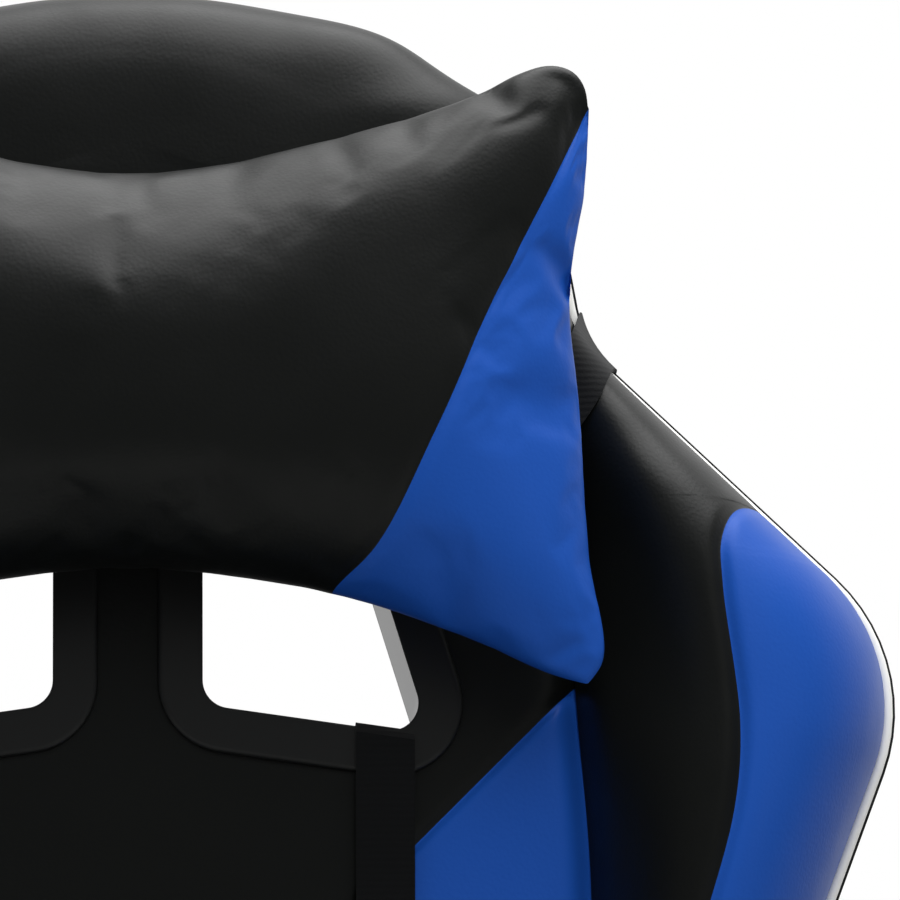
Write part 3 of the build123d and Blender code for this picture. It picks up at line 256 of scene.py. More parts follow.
def leathercloth(name, colour, roughness, gloss, crease=0.14):
    """Polyurethane-coated cloth: an embossed grain, and soft unevenness from the foam."""
    made, tree, shader = finish_of(name, colour, roughness, IOR=1.5, Specular_IOR_Level=gloss)
    place = wire(tree, "ShaderNodeTexCoord")
    grain = wire(tree, "ShaderNodeTexVoronoi", {
        "Vector": place.outputs["Object"], "Scale": 1000 / GRAIN_MM, "Randomness": 1.0},
        feature="SMOOTH_F1")
    lumps = wire(tree, "ShaderNodeTexNoise", {
        "Vector": place.outputs["Object"], "Scale": 1000 / LUMP_MM, "Detail": 3.0,
        "Roughness": 0.55})
    wear = wire(tree, "ShaderNodeMapRange", {
        "Value": lumps.outputs["Fac"], "From Min": 0.3, "From Max": 0.7,
        "To Min": roughness - 0.05, "To Max": roughness + 0.06})
    soft = wire(tree, "ShaderNodeBump", {
        "Height": lumps.outputs["Fac"], "Strength": crease, "Distance": 0.003})
    bump = wire(tree, "ShaderNodeBump", {
        "Height": grain.outputs["Distance"], "Strength": 0.22, "Distance": 0.00025,
        "Normal": soft.outputs["Normal"]})
    tree.links.new(wear.outputs["Result"], shader.inputs["Roughness"])
    tree.links.new(bump.outputs["Normal"], shader.inputs["Normal"])
    return made


def sewn_pad(name, front, rear, panels, **options):
    """A closed pad from two matching grids of points. panels: (finish, number of columns)."""
    rows, cols = front.shape[:2]
    finishes = list(dict.fromkeys(finish for finish, _ in panels))
    columns = np.concatenate([[finishes.index(f)] * n for f, n in panels])[:cols - 1]
    face = grid_faces(rows, cols)
    tint = np.tile(columns, rows - 1)
    at = np.arange(rows * cols).reshape(rows, cols)
    border = np.concatenate([at[0, :-1], at[:-1, -1], at[-1, :0:-1], at[:0:-1, 0]])
    side = np.stack([border, np.roll(border, -1)], -1)
    side = np.concatenate([side, side[:, ::-1] + rows * cols], -1)
    side_tint = np.concatenate([
        columns, [columns[-1]] * (rows - 1), columns[::-1], [columns[0]] * (rows - 1)])
    points = np.concatenate([front.reshape(-1, 3), rear.reshape(-1, 3)])
    faces = np.concatenate([face, face[:, ::-1] + rows * cols, side])
    return mesh_piece(name, points, faces, np.concatenate([tint, tint, side_tint]),
                      finishes, **options)


def ease(count):
    """Steps from 0 to 1 that crowd towards both ends, where the seams are."""
    return 0.5 - 0.5 * np.cos(np.linspace(0, math.pi, count))


def ripple(points, size_mm, seed):
    """Smooth unevenness from -1 to 1 at points in millimetres: a few crossed waves."""
    draw = np.random.default_rng(seed)
    total = np.zeros(points.shape[:-1])
    for _ in range(7):
        way = draw.normal(size=3)
        way *= 2 * math.pi / (size_mm * draw.uniform(0.7, 1.6) * np.linalg.norm(way))
        total += np.sin(points @ way + draw.uniform(0, 2 * math.pi))
    return total / 4


def groove(distance, width, depth):
    """How far a sewn seam pulls the surface in, by distance from the stitches."""
    return depth * np.exp(-(distance / width) ** 2)


def upholster(piece, body, node):
    """A padded piece rides a body and stands for its CAD node, which is hidden."""
    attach(piece, body)
    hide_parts(node)


# Black coated cloth: deep black, with a satin sheen that lights up where it turns away.
black_leather = leathercloth("leathercloth_black", "#0b0d0c", 0.43, gloss=0.28)
# Blue coated cloth for the accent panels: the same sheen over a strong royal blue.
blue_leather = leathercloth("leathercloth_blue", "#1a4da6", 0.46, gloss=0.16, crease=0.1)

SEAT_FRONT, SEAT_REAR, SEAT_HALF = -272, 160, 151
SEAT_EDGE_TOP, SEAT_UNDER, APRON_LOW, APRON_REAR = 444, 378, 341, -236
SEAT_CROWN, SEAT_RIPPLE, SEAT_BOXY = 10, 1.6, 7
FRONT_ROUND, FRONT_DROP, REAR_ROUND, REAR_DROP = 34, 40, 15, 12
END_TAPER, APRON_LIFT = 10, 8         # how far the sides and the apron draw in at the ends
LIP_START, LIP_LONG, LIP_RISE = -262, 90, 5   # the fuller foam under the knees
SEAT_SEAM_X, SEAT_SEAM_Y, SEAM_W, SEAM_DEEP = 92, -214, 4, 5

quarter = math.pi / 2
stations = np.concatenate([
    SEAT_FRONT + FRONT_ROUND * (1 - np.cos(np.linspace(0, quarter, 22))),
    np.linspace(SEAT_FRONT + FRONT_ROUND + 2, SEAT_REAR - REAR_ROUND - 1, 130),
    SEAT_REAR - REAR_ROUND + REAR_ROUND * np.sin(np.linspace(0, quarter, 14))])
turn = np.linspace(0, 2 * math.pi, 161)
into_front = np.clip((SEAT_FRONT + FRONT_ROUND - stations) / FRONT_ROUND, 0, 1)
into_rear = np.clip((stations - SEAT_REAR + REAR_ROUND) / (REAR_ROUND + 0.01), 0, 1)
front_pull, rear_pull = 1 - np.sqrt(1 - into_front ** 2), 1 - np.sqrt(1 - into_rear ** 2)
low = np.where(stations < APRON_REAR, APRON_LOW, SEAT_UNDER) + APRON_LIFT * front_pull
high = SEAT_EDGE_TOP - FRONT_DROP * front_pull - REAR_DROP * rear_pull
half = SEAT_HALF - END_TAPER * front_pull - END_TAPER * rear_pull


def boxy(angle, power):
    """A rounded square on the unit circle's angle: 2 is a circle, more is squarer."""
    c, s = np.cos(angle), np.sin(angle)
    return np.sign(c) * np.abs(c) ** (2 / power), np.sign(s) * np.abs(s) ** (2 / power)


across, rise = boxy(turn, SEAT_BOXY)
ring_x = half[:, None] * across
ring_z = (low + high)[:, None] / 2 + (high - low)[:, None] / 2 * rise
ring_y = np.broadcast_to(stations[:, None], ring_x.shape).copy()
upper = np.clip(rise, 0, 1) ** 2
crown = SEAT_CROWN * (1 - (ring_x / SEAT_HALF) ** 2) * (1 - front_pull - rear_pull)[:, None]
ring_z += upper * crown
ring_z += upper * LIP_RISE * np.sin(np.clip((ring_y - LIP_START) / LIP_LONG, 0, 1) * math.pi)
ring_z -= upper * (
    groove(np.abs(ring_x) - SEAT_SEAM_X, SEAM_W, SEAM_DEEP) * (ring_y > SEAT_SEAM_Y))
ring_z -= upper * groove(ring_y - SEAT_SEAM_Y, SEAM_W, SEAM_DEEP)
seat_points = np.stack([ring_x, ring_y, ring_z], -1)
ring_z += upper * SEAT_RIPPLE * ripple(seat_points, 85, seed=3)
seat_points = np.stack([ring_x, ring_y, ring_z], -1) / 1000
seat_cushion = lofted("seat_cushion_cover", seat_points, [black_leather])
upholster(seat_cushion, "seat", "seat_cushion")


# ---- Seat bolsters --------------------------------------------------------------------
# Foam side rolls that stand above the cushion and hang over the frame's sides, sewn from
# a black inner panel and a blue outer panel, and pulled over the rails.
RING_ARC, RING_EDGE = 7, 7            # steps round a corner, and along the edge after it


def corner_arc(before, corner, after, radius, arc):
    """Points round one corner of a line, as an arc in even steps."""
    a, b = before - corner, after - corner
    a, b = a / np.linalg.norm(a), b / np.linalg.norm(b)
    angle = math.acos(np.clip(a @ b, -1, 1))
    run = radius / math.tan(angle / 2)
    middle = corner + (a + b) / np.linalg.norm(a + b) * radius / math.sin(angle / 2)
    first, last = corner + a * run - middle, corner + b * run - middle
    sweep = math.pi - angle
    part = np.linspace(0, 1, arc + 1)[:, None]
    return middle + (np.sin((1 - part) * sweep) * first
                     + np.sin(part * sweep) * last) / math.sin(sweep)


def rounded_ring(corners, arc=RING_ARC, edge=RING_EDGE):
    """A closed line of points from corners (x, z, radius), with the same count each time."""
    spot = [np.array(c[:2], float) for c in corners]
    total = len(corners)
    arcs = [corner_arc(spot[i - 1], spot[i], spot[(i + 1) % total], corners[i][2], arc)
            for i in range(total)]
    line = []
    for i in range(total):
        line.append(arcs[i])
        gap = arcs[(i + 1) % total][0] - arcs[i][-1]
        line.append(arcs[i][-1] + gap * np.linspace(0, 1, edge + 1)[1:-1, None])
    return np.concatenate(line + [line[0][:1]])


BOLSTER_IN, BOLSTER_OUT, BOLSTER_REAR_OUT = 150.5, 251, 187
BOLSTER_FRONT, BOLSTER_REAR, BOLSTER_TOP = -264, 158, 493
BOLSTER_SKIRT, BOLSTER_SEAT, RAIL_SIDE, BOLSTER_HEART = 353, 379, 200, 418
TAPER_FROM, TAPER_LONG = 44, 46       # where it narrows beside the hinge
SKIRT_FROM, SKIRT_LONG = 20, 40       # where its skirt ends
NOSE_LONG, NOSE_DROP, TAIL_FROM, TAIL_LONG, TAIL_DROP = 120, 34, 40, 118, 32
NOSE_ROUND, TAIL_ROUND, NOSE_PULL, TAIL_PULL = 30, 18, 0.42, 0.35
CREST_HALF, SEAM_PULL = 22, 3.2


def bolster_ring(y):
    """The bolster's cross-section at one station along the seat, in x and z."""
    tail = np.clip((y - TAPER_FROM) / TAPER_LONG, 0, 1)
    tail = tail * tail * (3 - 2 * tail)
    out = BOLSTER_OUT + (BOLSTER_REAR_OUT - BOLSTER_OUT) * tail
    raised = np.clip((y - SKIRT_FROM) / SKIRT_LONG, 0, 1)
    skirt = BOLSTER_SKIRT + (BOLSTER_SEAT - 1 - BOLSTER_SKIRT) * raised
    step = min(RAIL_SIDE, out - 12)
    nose = 1 - np.clip((y - BOLSTER_FRONT) / NOSE_LONG, 0, 1)
    sunk = np.clip((y - TAIL_FROM) / TAIL_LONG, 0, 1)
    top = BOLSTER_TOP - NOSE_DROP * nose ** 2 - TAIL_DROP * sunk ** 2
    middle = (BOLSTER_IN + out) / 2
    return rounded_ring([
        (BOLSTER_IN, BOLSTER_SEAT, 3), (step, BOLSTER_SEAT, 0.4), (step, skirt, 0.4),
        (out, skirt, 5), (out, top - 52, 24), (middle + CREST_HALF, top + 1, 22),
        (middle - CREST_HALF, top + 1, 18), (BOLSTER_IN, top - 24, 16)])


for side, hand in (("left", 1), ("right", -1)):
    stations = np.concatenate([
        BOLSTER_FRONT + NOSE_ROUND * (1 - np.cos(np.linspace(0, quarter, 16))),
        np.linspace(BOLSTER_FRONT + NOSE_ROUND + 3, BOLSTER_REAR - TAIL_ROUND - 2, 120),
        BOLSTER_REAR - TAIL_ROUND + TAIL_ROUND * np.sin(np.linspace(0, quarter, 12))])
    rings = []
    for y in stations:
        ring = bolster_ring(y)
        heart = np.array([(ring[:, 0].min() + ring[:, 0].max()) / 2, BOLSTER_HEART])
        nose = np.clip((BOLSTER_FRONT + NOSE_ROUND - y) / NOSE_ROUND, 0, 1)
        tail = np.clip((y - BOLSTER_REAR + TAIL_ROUND) / (TAIL_ROUND + 0.01), 0, 1)
        keep = 1 - (NOSE_PULL * (1 - math.sqrt(1 - nose ** 2))
                    + TAIL_PULL * (1 - math.sqrt(1 - tail ** 2)))
        ring = heart + (ring - heart) * keep
        rings.append(np.column_stack([ring[:, 0], np.full(len(ring), y), ring[:, 1]]))
    rings = np.array(rings)
    per = RING_ARC + RING_EDGE            # points of one corner and the edge after it
    seam_at = per * 5 + 4                 # the seam runs along the outer top corner
    heart = rings.mean(1, keepdims=True)
    inward = heart - rings
    inward /= np.linalg.norm(inward, axis=-1, keepdims=True)
    step = np.linalg.norm(rings - rings[:, seam_at:seam_at + 1], axis=-1)
    rings = rings + inward * groove(step, SEAM_W, SEAM_PULL)[..., None]
    up = np.clip((rings[..., 2] - 400) / 40, 0, 1)
    rings[..., 2] += up * 1.2 * ripple(rings, 70, seed=5)
    rings[..., 0] *= hand
    column = np.arange(rings.shape[1] - 1)
    blue = ((column >= per * 3) & (column < seam_at)).astype(int)
    bolster = lofted(f"seat_bolster_cover_{side}", rings / 1000, [black_leather, blue_leather],
                     blue)
    upholster(bolster, "seat", f"seat_bolster_{side}")

# ---- Armrests -------------------------------------------------------------------------
# Powder coated steel brackets bolted under the seat, ABS sleeves that slide on the posts,
# and skinned polyurethane foam pads screwed on top. A side button frees the height catch.
# Integral-skin foam: matt, soft-touch, with a leather-like mould grain.
skinned_foam = moulded("polyurethane_integral_skin", "#1b1c1d", 0.6, grit_mm=1.6, depth_mm=0.12,
                       edge_mm=2.0)
for side in ("left", "right"):
    dress(powder_coat, f"arm_bracket_{side}")
    dress(satin_abs, f"arm_sleeve_{side}", f"arm_button_{side}")
    dress(skinned_foam, f"arm_pad_{side}")

# ---- Hinges, covers and recline lever -------------------------------------------------
# Steel side plates bolted to the seat frame carry the back on two pins, under ABS covers.
# The hand lever on the right frees the ratchet.
for side in ("left", "right"):
    dress(powder_coat, f"hinge_plate_{side}")
    dress(satin_abs, f"hinge_cover_{side}")
dress(satin_abs, "recline_lever")
dress(powder_coat, "back_brackets", "back_frame")

# ---- Backrest shell and piping --------------------------------------------------------
# The rear cover is black leathercloth over a padded board round the bent steel frame.
# White vinyl piping over a cord closes the seam between it and the front pads.
BACK_PIVOT, BACK_LEAN = (0.0, 205.0, 430.0), math.radians(8)


def on_back(x, depth, height):
    """Points from the backrest's own plane, depth forwards of it, as metres in the frame."""
    x, depth, height = np.broadcast_arrays(x, depth, height)
    y = BACK_PIVOT[1] - depth * math.cos(BACK_LEAN) + height * math.sin(BACK_LEAN)
    z = BACK_PIVOT[2] + depth * math.sin(BACK_LEAN) + height * math.cos(BACK_LEAN)
    return np.stack([x, y, z], -1) / 1000


# Rear cover cloth: the same black, laid flat and a little duller.
rear_leather = leathercloth("leathercloth_rear", "#101111", 0.47, gloss=0.3)
# Piping vinyl: white and softly glossy, faintly dimpled where it is drawn over the cord.
piping_vinyl = moulded("vinyl_piping_white", "#f1f1ee", 0.4, grit_mm=1.6, depth_mm=0.08,
                       edge_mm=0.3)
dress(rear_leather, "back_shell")
dress(piping_vinyl, "back_piping")


# ---- Side wings -----------------------------------------------------------------------
# Contoured foam wings, each sewn from a black inner panel and a blue outer panel.
# They are glued to the frame's sides, and their edge is sewn into the piping.
def arc_line(corners, arc=20):
    """An open line through corners (x, height, radius), with round stretches as arcs."""
    spot = [np.array(c[:2], float) for c in corners]
    arcs = [corner_arc(spot[i - 1], spot[i], spot[i + 1], corners[i][2], arc)
            for i in range(1, len(corners) - 1)]
    return np.concatenate([spot[0][None]] + arcs + [spot[-1][None]])


def even_steps(line, count):
    """The same line as count points, evenly spaced along it."""
    run = np.r_[0, np.cumsum(np.linalg.norm(np.diff(line, axis=0), axis=1))]
    even = np.linspace(0, run[-1], count)
    return np.column_stack([np.interp(even, run, line[:, k]) for k in range(line.shape[1])])


def curve(points, count=160):
    """A smooth curve through a few points, in even steps."""
    spot = np.array(points, float)
    reach = np.r_[0, np.cumsum(np.sqrt(np.linalg.norm(np.diff(spot, axis=0), axis=1)))]
    pull = np.gradient(spot, reach, axis=0)
    at = np.linspace(0, reach[-1], 900)
    i = np.clip(np.searchsorted(reach, at, side="right") - 1, 0, len(spot) - 2)
    span = (reach[i + 1] - reach[i])[:, None]
    u = (at - reach[i])[:, None] / span
    line = ((2 * u ** 3 - 3 * u ** 2 + 1) * spot[i] + (u ** 3 - 2 * u ** 2 + u) * span * pull[i]
            + (3 * u ** 2 - 2 * u ** 3) * spot[i + 1] + (u ** 3 - u ** 2) * span * pull[i + 1])
    return even_steps(line, count)


BACK_OUTLINE = [
    (0, 22, 0), (194, 22, 18), (194, 118, 150), (203, 335, 150), (287, 559, 66),
    (165, 674.5, 40), (151, 752, 45), (58, 800, 210), (0, 800, 0)]
EDGE_INSET = 4.4                     # the pads stop this far inside the outline, at the piping
WING_LOW, WING_HIGH, WING_ROUND = 26.5, 697, 24
SIDE_LOW, SIDE_HIGH = 40, 752        # heights between which the outline only climbs
NO_SEAM = 999                        # beyond any edge, so that the seam stays out of sight
PAD_REAR, PAD_THIN = 0.6, 1.2        # the pads' rear face, and their least depth
# height, half-width at the seam, depth at the seam, depth at the crest
WING_FORM = np.array([
    (26, 148, 40, 43), (70, 149, 43, 52), (150, 151, 44, 62), (240, 155, 44, 68),
    (330, 160, 44, 75), (410, 164, 44, 82), (477, 164, 44, 87), (530, 160, 44, 88),
    (570, 157, 44, 86), (610, 153, 45, 77), (635, 149, 47, 66), (655, 144, 48, 58),
    (678, 138, 50, 55), (698, 134, 50, 54)], float)
# where the blue panel meets the black one: x, height
BLUE_SEAM = [(201, 285), (188, 330), (187, 385), (197, 440), (212, 495), (214.5, 525),
             (209, 575), (209, 592), (214, 603), (221, 607), (231.5, 608)]
outline = arc_line(BACK_OUTLINE)
wing_form = curve(WING_FORM, 900)


def edge_at(height):
    """Half-width of the backrest's outline at a height up the back."""
    climb = outline[(outline[:, 1] > SIDE_LOW) & (outline[:, 1] < SIDE_HIGH)]
    return np.interp(height, climb[:, 1], climb[:, 0])


def pad_edge(height):
    """Half-width where the pads stop, which is EDGE_INSET inside the outline, square to it."""
    slope = (edge_at(height + 1) - edge_at(height - 1)) / 2
    return edge_at(height) - EDGE_INSET * np.sqrt(1 + slope ** 2)


def away_from(line, x, height):
    """Distance of points from a line of points, both on the back's plane."""
    spots = np.stack([x, height], -1).reshape(-1, 1, 2)
    near = [np.linalg.norm(spots[i:i + 4000] - line, axis=-1).min(1)
            for i in range(0, len(spots), 4000)]
    return np.concatenate(near).reshape(x.shape)


def seam_at_height(height):
    """Half-width where the wing is sewn to the centre panel."""
    return np.interp(height, wing_form[:, 0], wing_form[:, 1])


def wing_depth(x, height):
    """How far the wing stands forward: it swells from its seam and rolls over its edge."""
    inner, outer = seam_at_height(height), pad_edge(height)
    seam = np.interp(height, wing_form[:, 0], wing_form[:, 2])
    crest = np.interp(height, wing_form[:, 0], wing_form[:, 3])
    part = np.clip((x - inner) / (outer - inner), 0, 1)
    swell = seam + (crest - seam) * np.sin(math.pi * part)
    roll = 2 + (crest - 2) * (1 - np.clip(2 * part - 1, 0, 1) ** 2.1) ** 0.5
    return np.where(part < 0.5, swell, roll)


heights = np.concatenate([
    WING_LOW + WING_ROUND * (1 - np.cos(np.linspace(0, quarter, 14))),
    np.linspace(WING_LOW + 26, 584, 212), np.linspace(584.6, 614, 50),
    np.linspace(616, WING_HIGH - 14, 30),
    WING_HIGH - WING_ROUND / 2 * (1 - np.sin(np.linspace(0, quarter, 10)))])
blue_seam = curve(BLUE_SEAM, 400)
inner, outer = seam_at_height(heights), pad_edge(heights)
split = np.interp(heights, blue_seam[:, 1], blue_seam[:, 0], left=NO_SEAM, right=NO_SEAM)
split = np.minimum(split, outer)
BLACK_COLS, BLUE_COLS = 44, 40
x = np.concatenate([
    inner[:, None] + (split - inner)[:, None] * ease(BLACK_COLS),
    split[:, None] + (outer - split)[:, None] * ease(BLUE_COLS)[1:]], 1)
height = np.broadcast_to(heights[:, None], x.shape)
depth = wing_depth(x, height)
spread = np.array([x, depth, height]).transpose(1, 2, 0)
body_part = np.clip((depth - 20) / 30, 0, 1)
depth = depth + body_part * 1.3 * ripple(spread, 90, seed=11)
depth -= groove(x - inner[:, None], 4.5, 7)
depth -= groove(away_from(blue_seam, x, height), 3.0, 2.4) * body_part
end = np.minimum(heights - WING_LOW, (WING_HIGH - heights) * 2)
depth = 2 + (depth - 2) * np.sqrt(1 - (1 - np.clip(end / WING_ROUND, 0, 1)) ** 2)[:, None]
depth = np.maximum(depth, PAD_THIN)
for side, hand in (("left", 1), ("right", -1)):
    wing = sewn_pad(f"wing_cover_{side}", on_back(hand * x, depth, height),
                    on_back(hand * x, PAD_REAR, height),
                    [(black_leather, BLACK_COLS - 1), (blue_leather, BLUE_COLS - 1)])
    upholster(wing, "back", f"wing_{side}")

# ---- Centre panel ---------------------------------------------------------------------
# Flat foam behind one black panel, with a blue panel let in at each side above the waist.
# It is sewn to the wings in a deep seam, and cut out for the two harness windows.
PANEL_LOW, PANEL_HIGH, PANEL_ROUND, PANEL_DEPTH, PANEL_CROWN = 27, 712, 16, 44, 2.5
# inner edge of the blue panel on the left: x, height
ACCENT_EDGE = [(160, 250), (84, 330), (84, 470), (158.6, 544.5)]
CENTRE_COLS, ACCENT_COLS = 90, 34
heights = np.concatenate([
    PANEL_LOW + PANEL_ROUND * (1 - np.cos(np.linspace(0, quarter, 10))),
    np.linspace(PANEL_LOW + PANEL_ROUND + 2, PANEL_HIGH, 240)])
inner = seam_at_height(heights)
edge_line = np.array(ACCENT_EDGE, float)
split = np.interp(heights, edge_line[:, 1], edge_line[:, 0], left=NO_SEAM, right=NO_SEAM)
split = np.minimum(split, inner)
x = np.concatenate([
    -inner[:, None] + (inner - split)[:, None] * ease(ACCENT_COLS),
    (split[:, None] * np.linspace(-1, 1, CENTRE_COLS))[:, 1:],
    split[:, None] + (inner - split)[:, None] * ease(ACCENT_COLS)[1:]], 1)
height = np.broadcast_to(heights[:, None], x.shape)
depth = PANEL_DEPTH + PANEL_CROWN * (1 - (x / inner[:, None]) ** 2)
depth -= groove(inner[:, None] - np.abs(x), 5, 8)
depth -= groove(np.abs(x) - split[:, None], 3, 2.2) * (split < inner - 1)[:, None]
depth += 0.8 * ripple(np.array([x, depth, height]).transpose(1, 2, 0), 80, seed=21)
depth *= np.sqrt(1 - (1 - np.clip((heights - PANEL_LOW) / PANEL_ROUND, 0, 1)) ** 2)[:, None]
depth = np.maximum(depth, PAD_THIN)
centre_panel = sewn_pad(
    "centre_panel", on_back(x, depth, height), on_back(x, PAD_REAR, height),
    [(blue_leather, ACCENT_COLS - 1), (black_leather, CENTRE_COLS - 1),
     (blue_leather, ACCENT_COLS - 1)])

# ---- Harness windows ------------------------------------------------------------------
# Two openings through pad and shell, each lined by a moulded ABS bezel that is pressed in
# from the front and clipped to its ring behind.
WINDOW = [(26.5, 537, 10), (107, 525.5, 10), (74, 632, 10), (26.5, 632, 10)]
WINDOW_HALF, WINDOW_GROW = 40, 3.0   # the pad's cut is this much larger, under the bezel
CUT_REAR, CUT_FRONT = -20, 80
for hand in (1, -1):
    ring = rounded_ring(WINDOW, 8, 2)[:-1]
    heart = ring.mean(0)
    ring = heart + (ring - heart) * (1 + WINDOW_GROW / WINDOW_HALF)
    points = np.concatenate([on_back(hand * ring[:, 0], depth, ring[:, 1])
                             for depth in (CUT_REAR, CUT_FRONT)])
    count = len(ring)
    cutter_mesh = bpy.data.meshes.new("window_cut")
    around = [(i, (i + 1) % count, count + (i + 1) % count, count + i) for i in range(count)]
    cutter_mesh.from_pydata(points.tolist(), [], around + [
        tuple(range(count))[::-1], tuple(range(count, 2 * count))])
    work = bmesh.new()
    work.from_mesh(cutter_mesh)
    bmesh.ops.recalc_face_normals(work, faces=work.faces)
    work.to_mesh(cutter_mesh)
    work.free()
    cutter = bpy.data.objects.new("window_cut", cutter_mesh)
    bpy.context.scene.collection.objects.link(cutter)
    cut = centre_panel.modifiers.new("window", "BOOLEAN")
    cut.operation, cut.solver, cut.object = "DIFFERENCE", "EXACT", cutter
    bpy.context.view_layer.update()
    shaped = bpy.data.meshes.new_from_object(
        centre_panel.evaluated_get(bpy.context.evaluated_depsgraph_get()))
    centre_panel.modifiers.clear()
    centre_panel.data = shaped
    bpy.data.objects.remove(cutter)
centre_panel.data.set_sharp_from_angle(angle=math.radians(55))
upholster(centre_panel, "back", "back_pad")
# Bezel ABS: moulded satin, with rounded front edges.
bezel_abs = moulded("abs_bezel_moulded", "#141515", 0.34, grit_mm=0.8, depth_mm=0.02,
                    edge_mm=1.6, gloss=0.45)
dress(bezel_abs, "bezel_left", "bezel_right")

# ---- Head roll ------------------------------------------------------------------------
# A thick foam roll across the top of the backrest, under the same black leathercloth,
# which is pulled tight over the top edge and sewn to the centre panel below.
ROLL_LOW, ROLL_HEART, ROLL_DEPTH, ROLL_BULGE = 690, 738, 58, 3.8
ROLL_SHOULDER, SHOULDER_X, SHOULDER_W = 1.6, 91, 24   # extra share of the bulge at its ends
top = outline[outline[:, 1] > ROLL_LOW]
top = np.concatenate([[(edge_at(ROLL_LOW), ROLL_LOW)], top])
half_ring = curve([(0, ROLL_LOW), (70, ROLL_LOW - 1), (132, ROLL_LOW)], 40)
ring = even_steps(np.concatenate([half_ring[:-1], top]), 170)
ring = np.concatenate([ring, (ring * [-1, 1])[-2::-1]])
for _ in range(3):
    ring[1:-1] = (ring[:-2] + 2 * ring[1:-1] + ring[2:]) / 4
away = ring - [0, ROLL_HEART]
length = np.linalg.norm(away, axis=1, keepdims=True)
ring = [0, ROLL_HEART] + away * (length - EDGE_INSET) / length
lift = np.linspace(0, quarter, 70)
shrink = np.cos(lift) ** 0.46
swell = ROLL_BULGE * np.sin(2 * np.clip(lift * 1.25, 0, quarter))
flat = [0, ROLL_HEART] + (ring - [0, ROLL_HEART]) * shrink[:, None, None]
fullness = 1 + ROLL_SHOULDER * np.exp(-((np.abs(ring[:, :1]) - SHOULDER_X) / SHOULDER_W) ** 2)
fullness = fullness * np.clip((ring[:, 1:] - 700) / 40, 0, 1)
flat = flat + (away / length) * swell[:, None, None] * fullness
depth = np.broadcast_to((2 + (ROLL_DEPTH - 2) * np.sin(lift) ** 0.86)[:, None], flat.shape[:2])
spread = np.concatenate([flat, depth[..., None]], -1)
depth = depth + 1.2 * np.sin(lift)[:, None] * ripple(spread, 70, seed=31)
rear = [0, ROLL_HEART] + (ring - [0, ROLL_HEART]) * np.linspace(0, 1, 12)[:, None, None]
head_roll = lofted("head_roll", np.concatenate([
    on_back(rear[..., 0], PAD_REAR, rear[..., 1]), on_back(flat[..., 0], depth, flat[..., 1])]),
    [black_leather], caps=False)
upholster(head_roll, "back", "back_pad")


# ---- Pillow straps --------------------------------------------------------------------
# A wide elastic band runs round the neck of the backrest and holds the head pillow.
# Two webbing straps hold the lumbar pillow; they hang from the sills of the windows.
def band(name, path, side, width, thick, finish):
    """A flat strap round a closed path in millimetres; side is its width's direction."""
    side = np.broadcast_to(np.array(side) / np.linalg.norm(side), path.shape)
    face = np.cross(np.gradient(path, axis=0), side)
    face /= np.linalg.norm(face, axis=1, keepdims=True)
    steps = np.concatenate([np.linspace(-0.5, 0.5, 7), np.linspace(0.5, -0.5, 7), [-0.5]])
    over = np.array([1] * 7 + [-1] * 7 + [1]) * thick / 2
    loops = (path[:, None] + side[:, None] * (width * steps)[None, :, None]
             + face[:, None] * over[None, :, None])
    return lofted(name, on_back(loops[..., 0], loops[..., 1], loops[..., 2]), [finish],
                  caps=False, sharp_deg=40)


strap_webbing = woven("polyester_webbing_woven", "#0e0f10", RIB_MM, (BACK_LEAN, 0, 0))
STRAP_X, STRAP_W, STRAP_T, STRAP_TILT = 91.0, 21.0, 1.5, -11.5 / 80.5
# depth and height: up the front over the bezel, through the window, down the rear, and
# back under the bottom edge
strap_route = curve([
    (47.8, 300), (47.8, 430), (48.2, 478), (50.3, 505), (50.7, 518), (50, 527),
    (46, 528.8), (30, 528.9), (0, 528.9), (-22, 528.8), (-32.5, 528), (-35.8, 520.5),
    (-35.4, 505), (-32.8, 478), (-32.2, 380), (-32.2, 230), (-32.2, 90), (-31.6, 40),
    (-27, 21.5), (-14, 19.4), (8, 19.4), (32, 19.6), (43, 23), (47.4, 40), (47.8, 90),
    (47.8, 230), (47.8, 300)], 260)
for side, hand in (("left", 1), ("right", -1)):
    route = np.column_stack([
        np.full(len(strap_route), hand * STRAP_X), strap_route[:, 0], strap_route[:, 1]])
    piece = band(f"lumbar_strap_{side}", route, (hand, 0, STRAP_TILT), STRAP_W, STRAP_T,
                 strap_webbing)
    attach(piece, "back")
    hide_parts("lumbar_straps")

NECK_BAND_W, NECK_BAND_T, NECK_BAND_GAP, SHELL_BACK = 24.0, 1.3, 0.2, 30.3
NECK_EDGE = 675.0                     # height at which the band's middle rounds the edge
NECK_OUT, NECK_UP = 0.87, 0.49        # the way out from the edge there, in x and in height
SIGHT = 200                           # rays that feel for the pads start this far forward
neck_front = curve([(0, 618), (60, 619), (118, 624), (145, 636), (158, 652),
                    (edge_at(NECK_EDGE), NECK_EDGE)], 90)[::-1]
neck_rear = curve([(edge_at(NECK_EDGE), NECK_EDGE), (150, 668), (100, 667), (0, 667)], 90)
ahead = Vector((0, -math.cos(BACK_LEAN), math.sin(BACK_LEAN)))
forms = [BVHTree.FromPolygons([v.co for v in piece.data.vertices],
                              [f.vertices for f in piece.data.polygons])
         for piece in (bpy.data.objects["wing_cover_left"], centre_panel, head_roll)]


def stands_at(x, height):
    """How far forward the pads stand at one point of the back's plane."""
    hits = [form.ray_cast(Vector(on_back(x, SIGHT, height)), -ahead)[3] for form in forms]
    return max((SIGHT - hit * 1000 for hit in hits if hit), default=2.0)


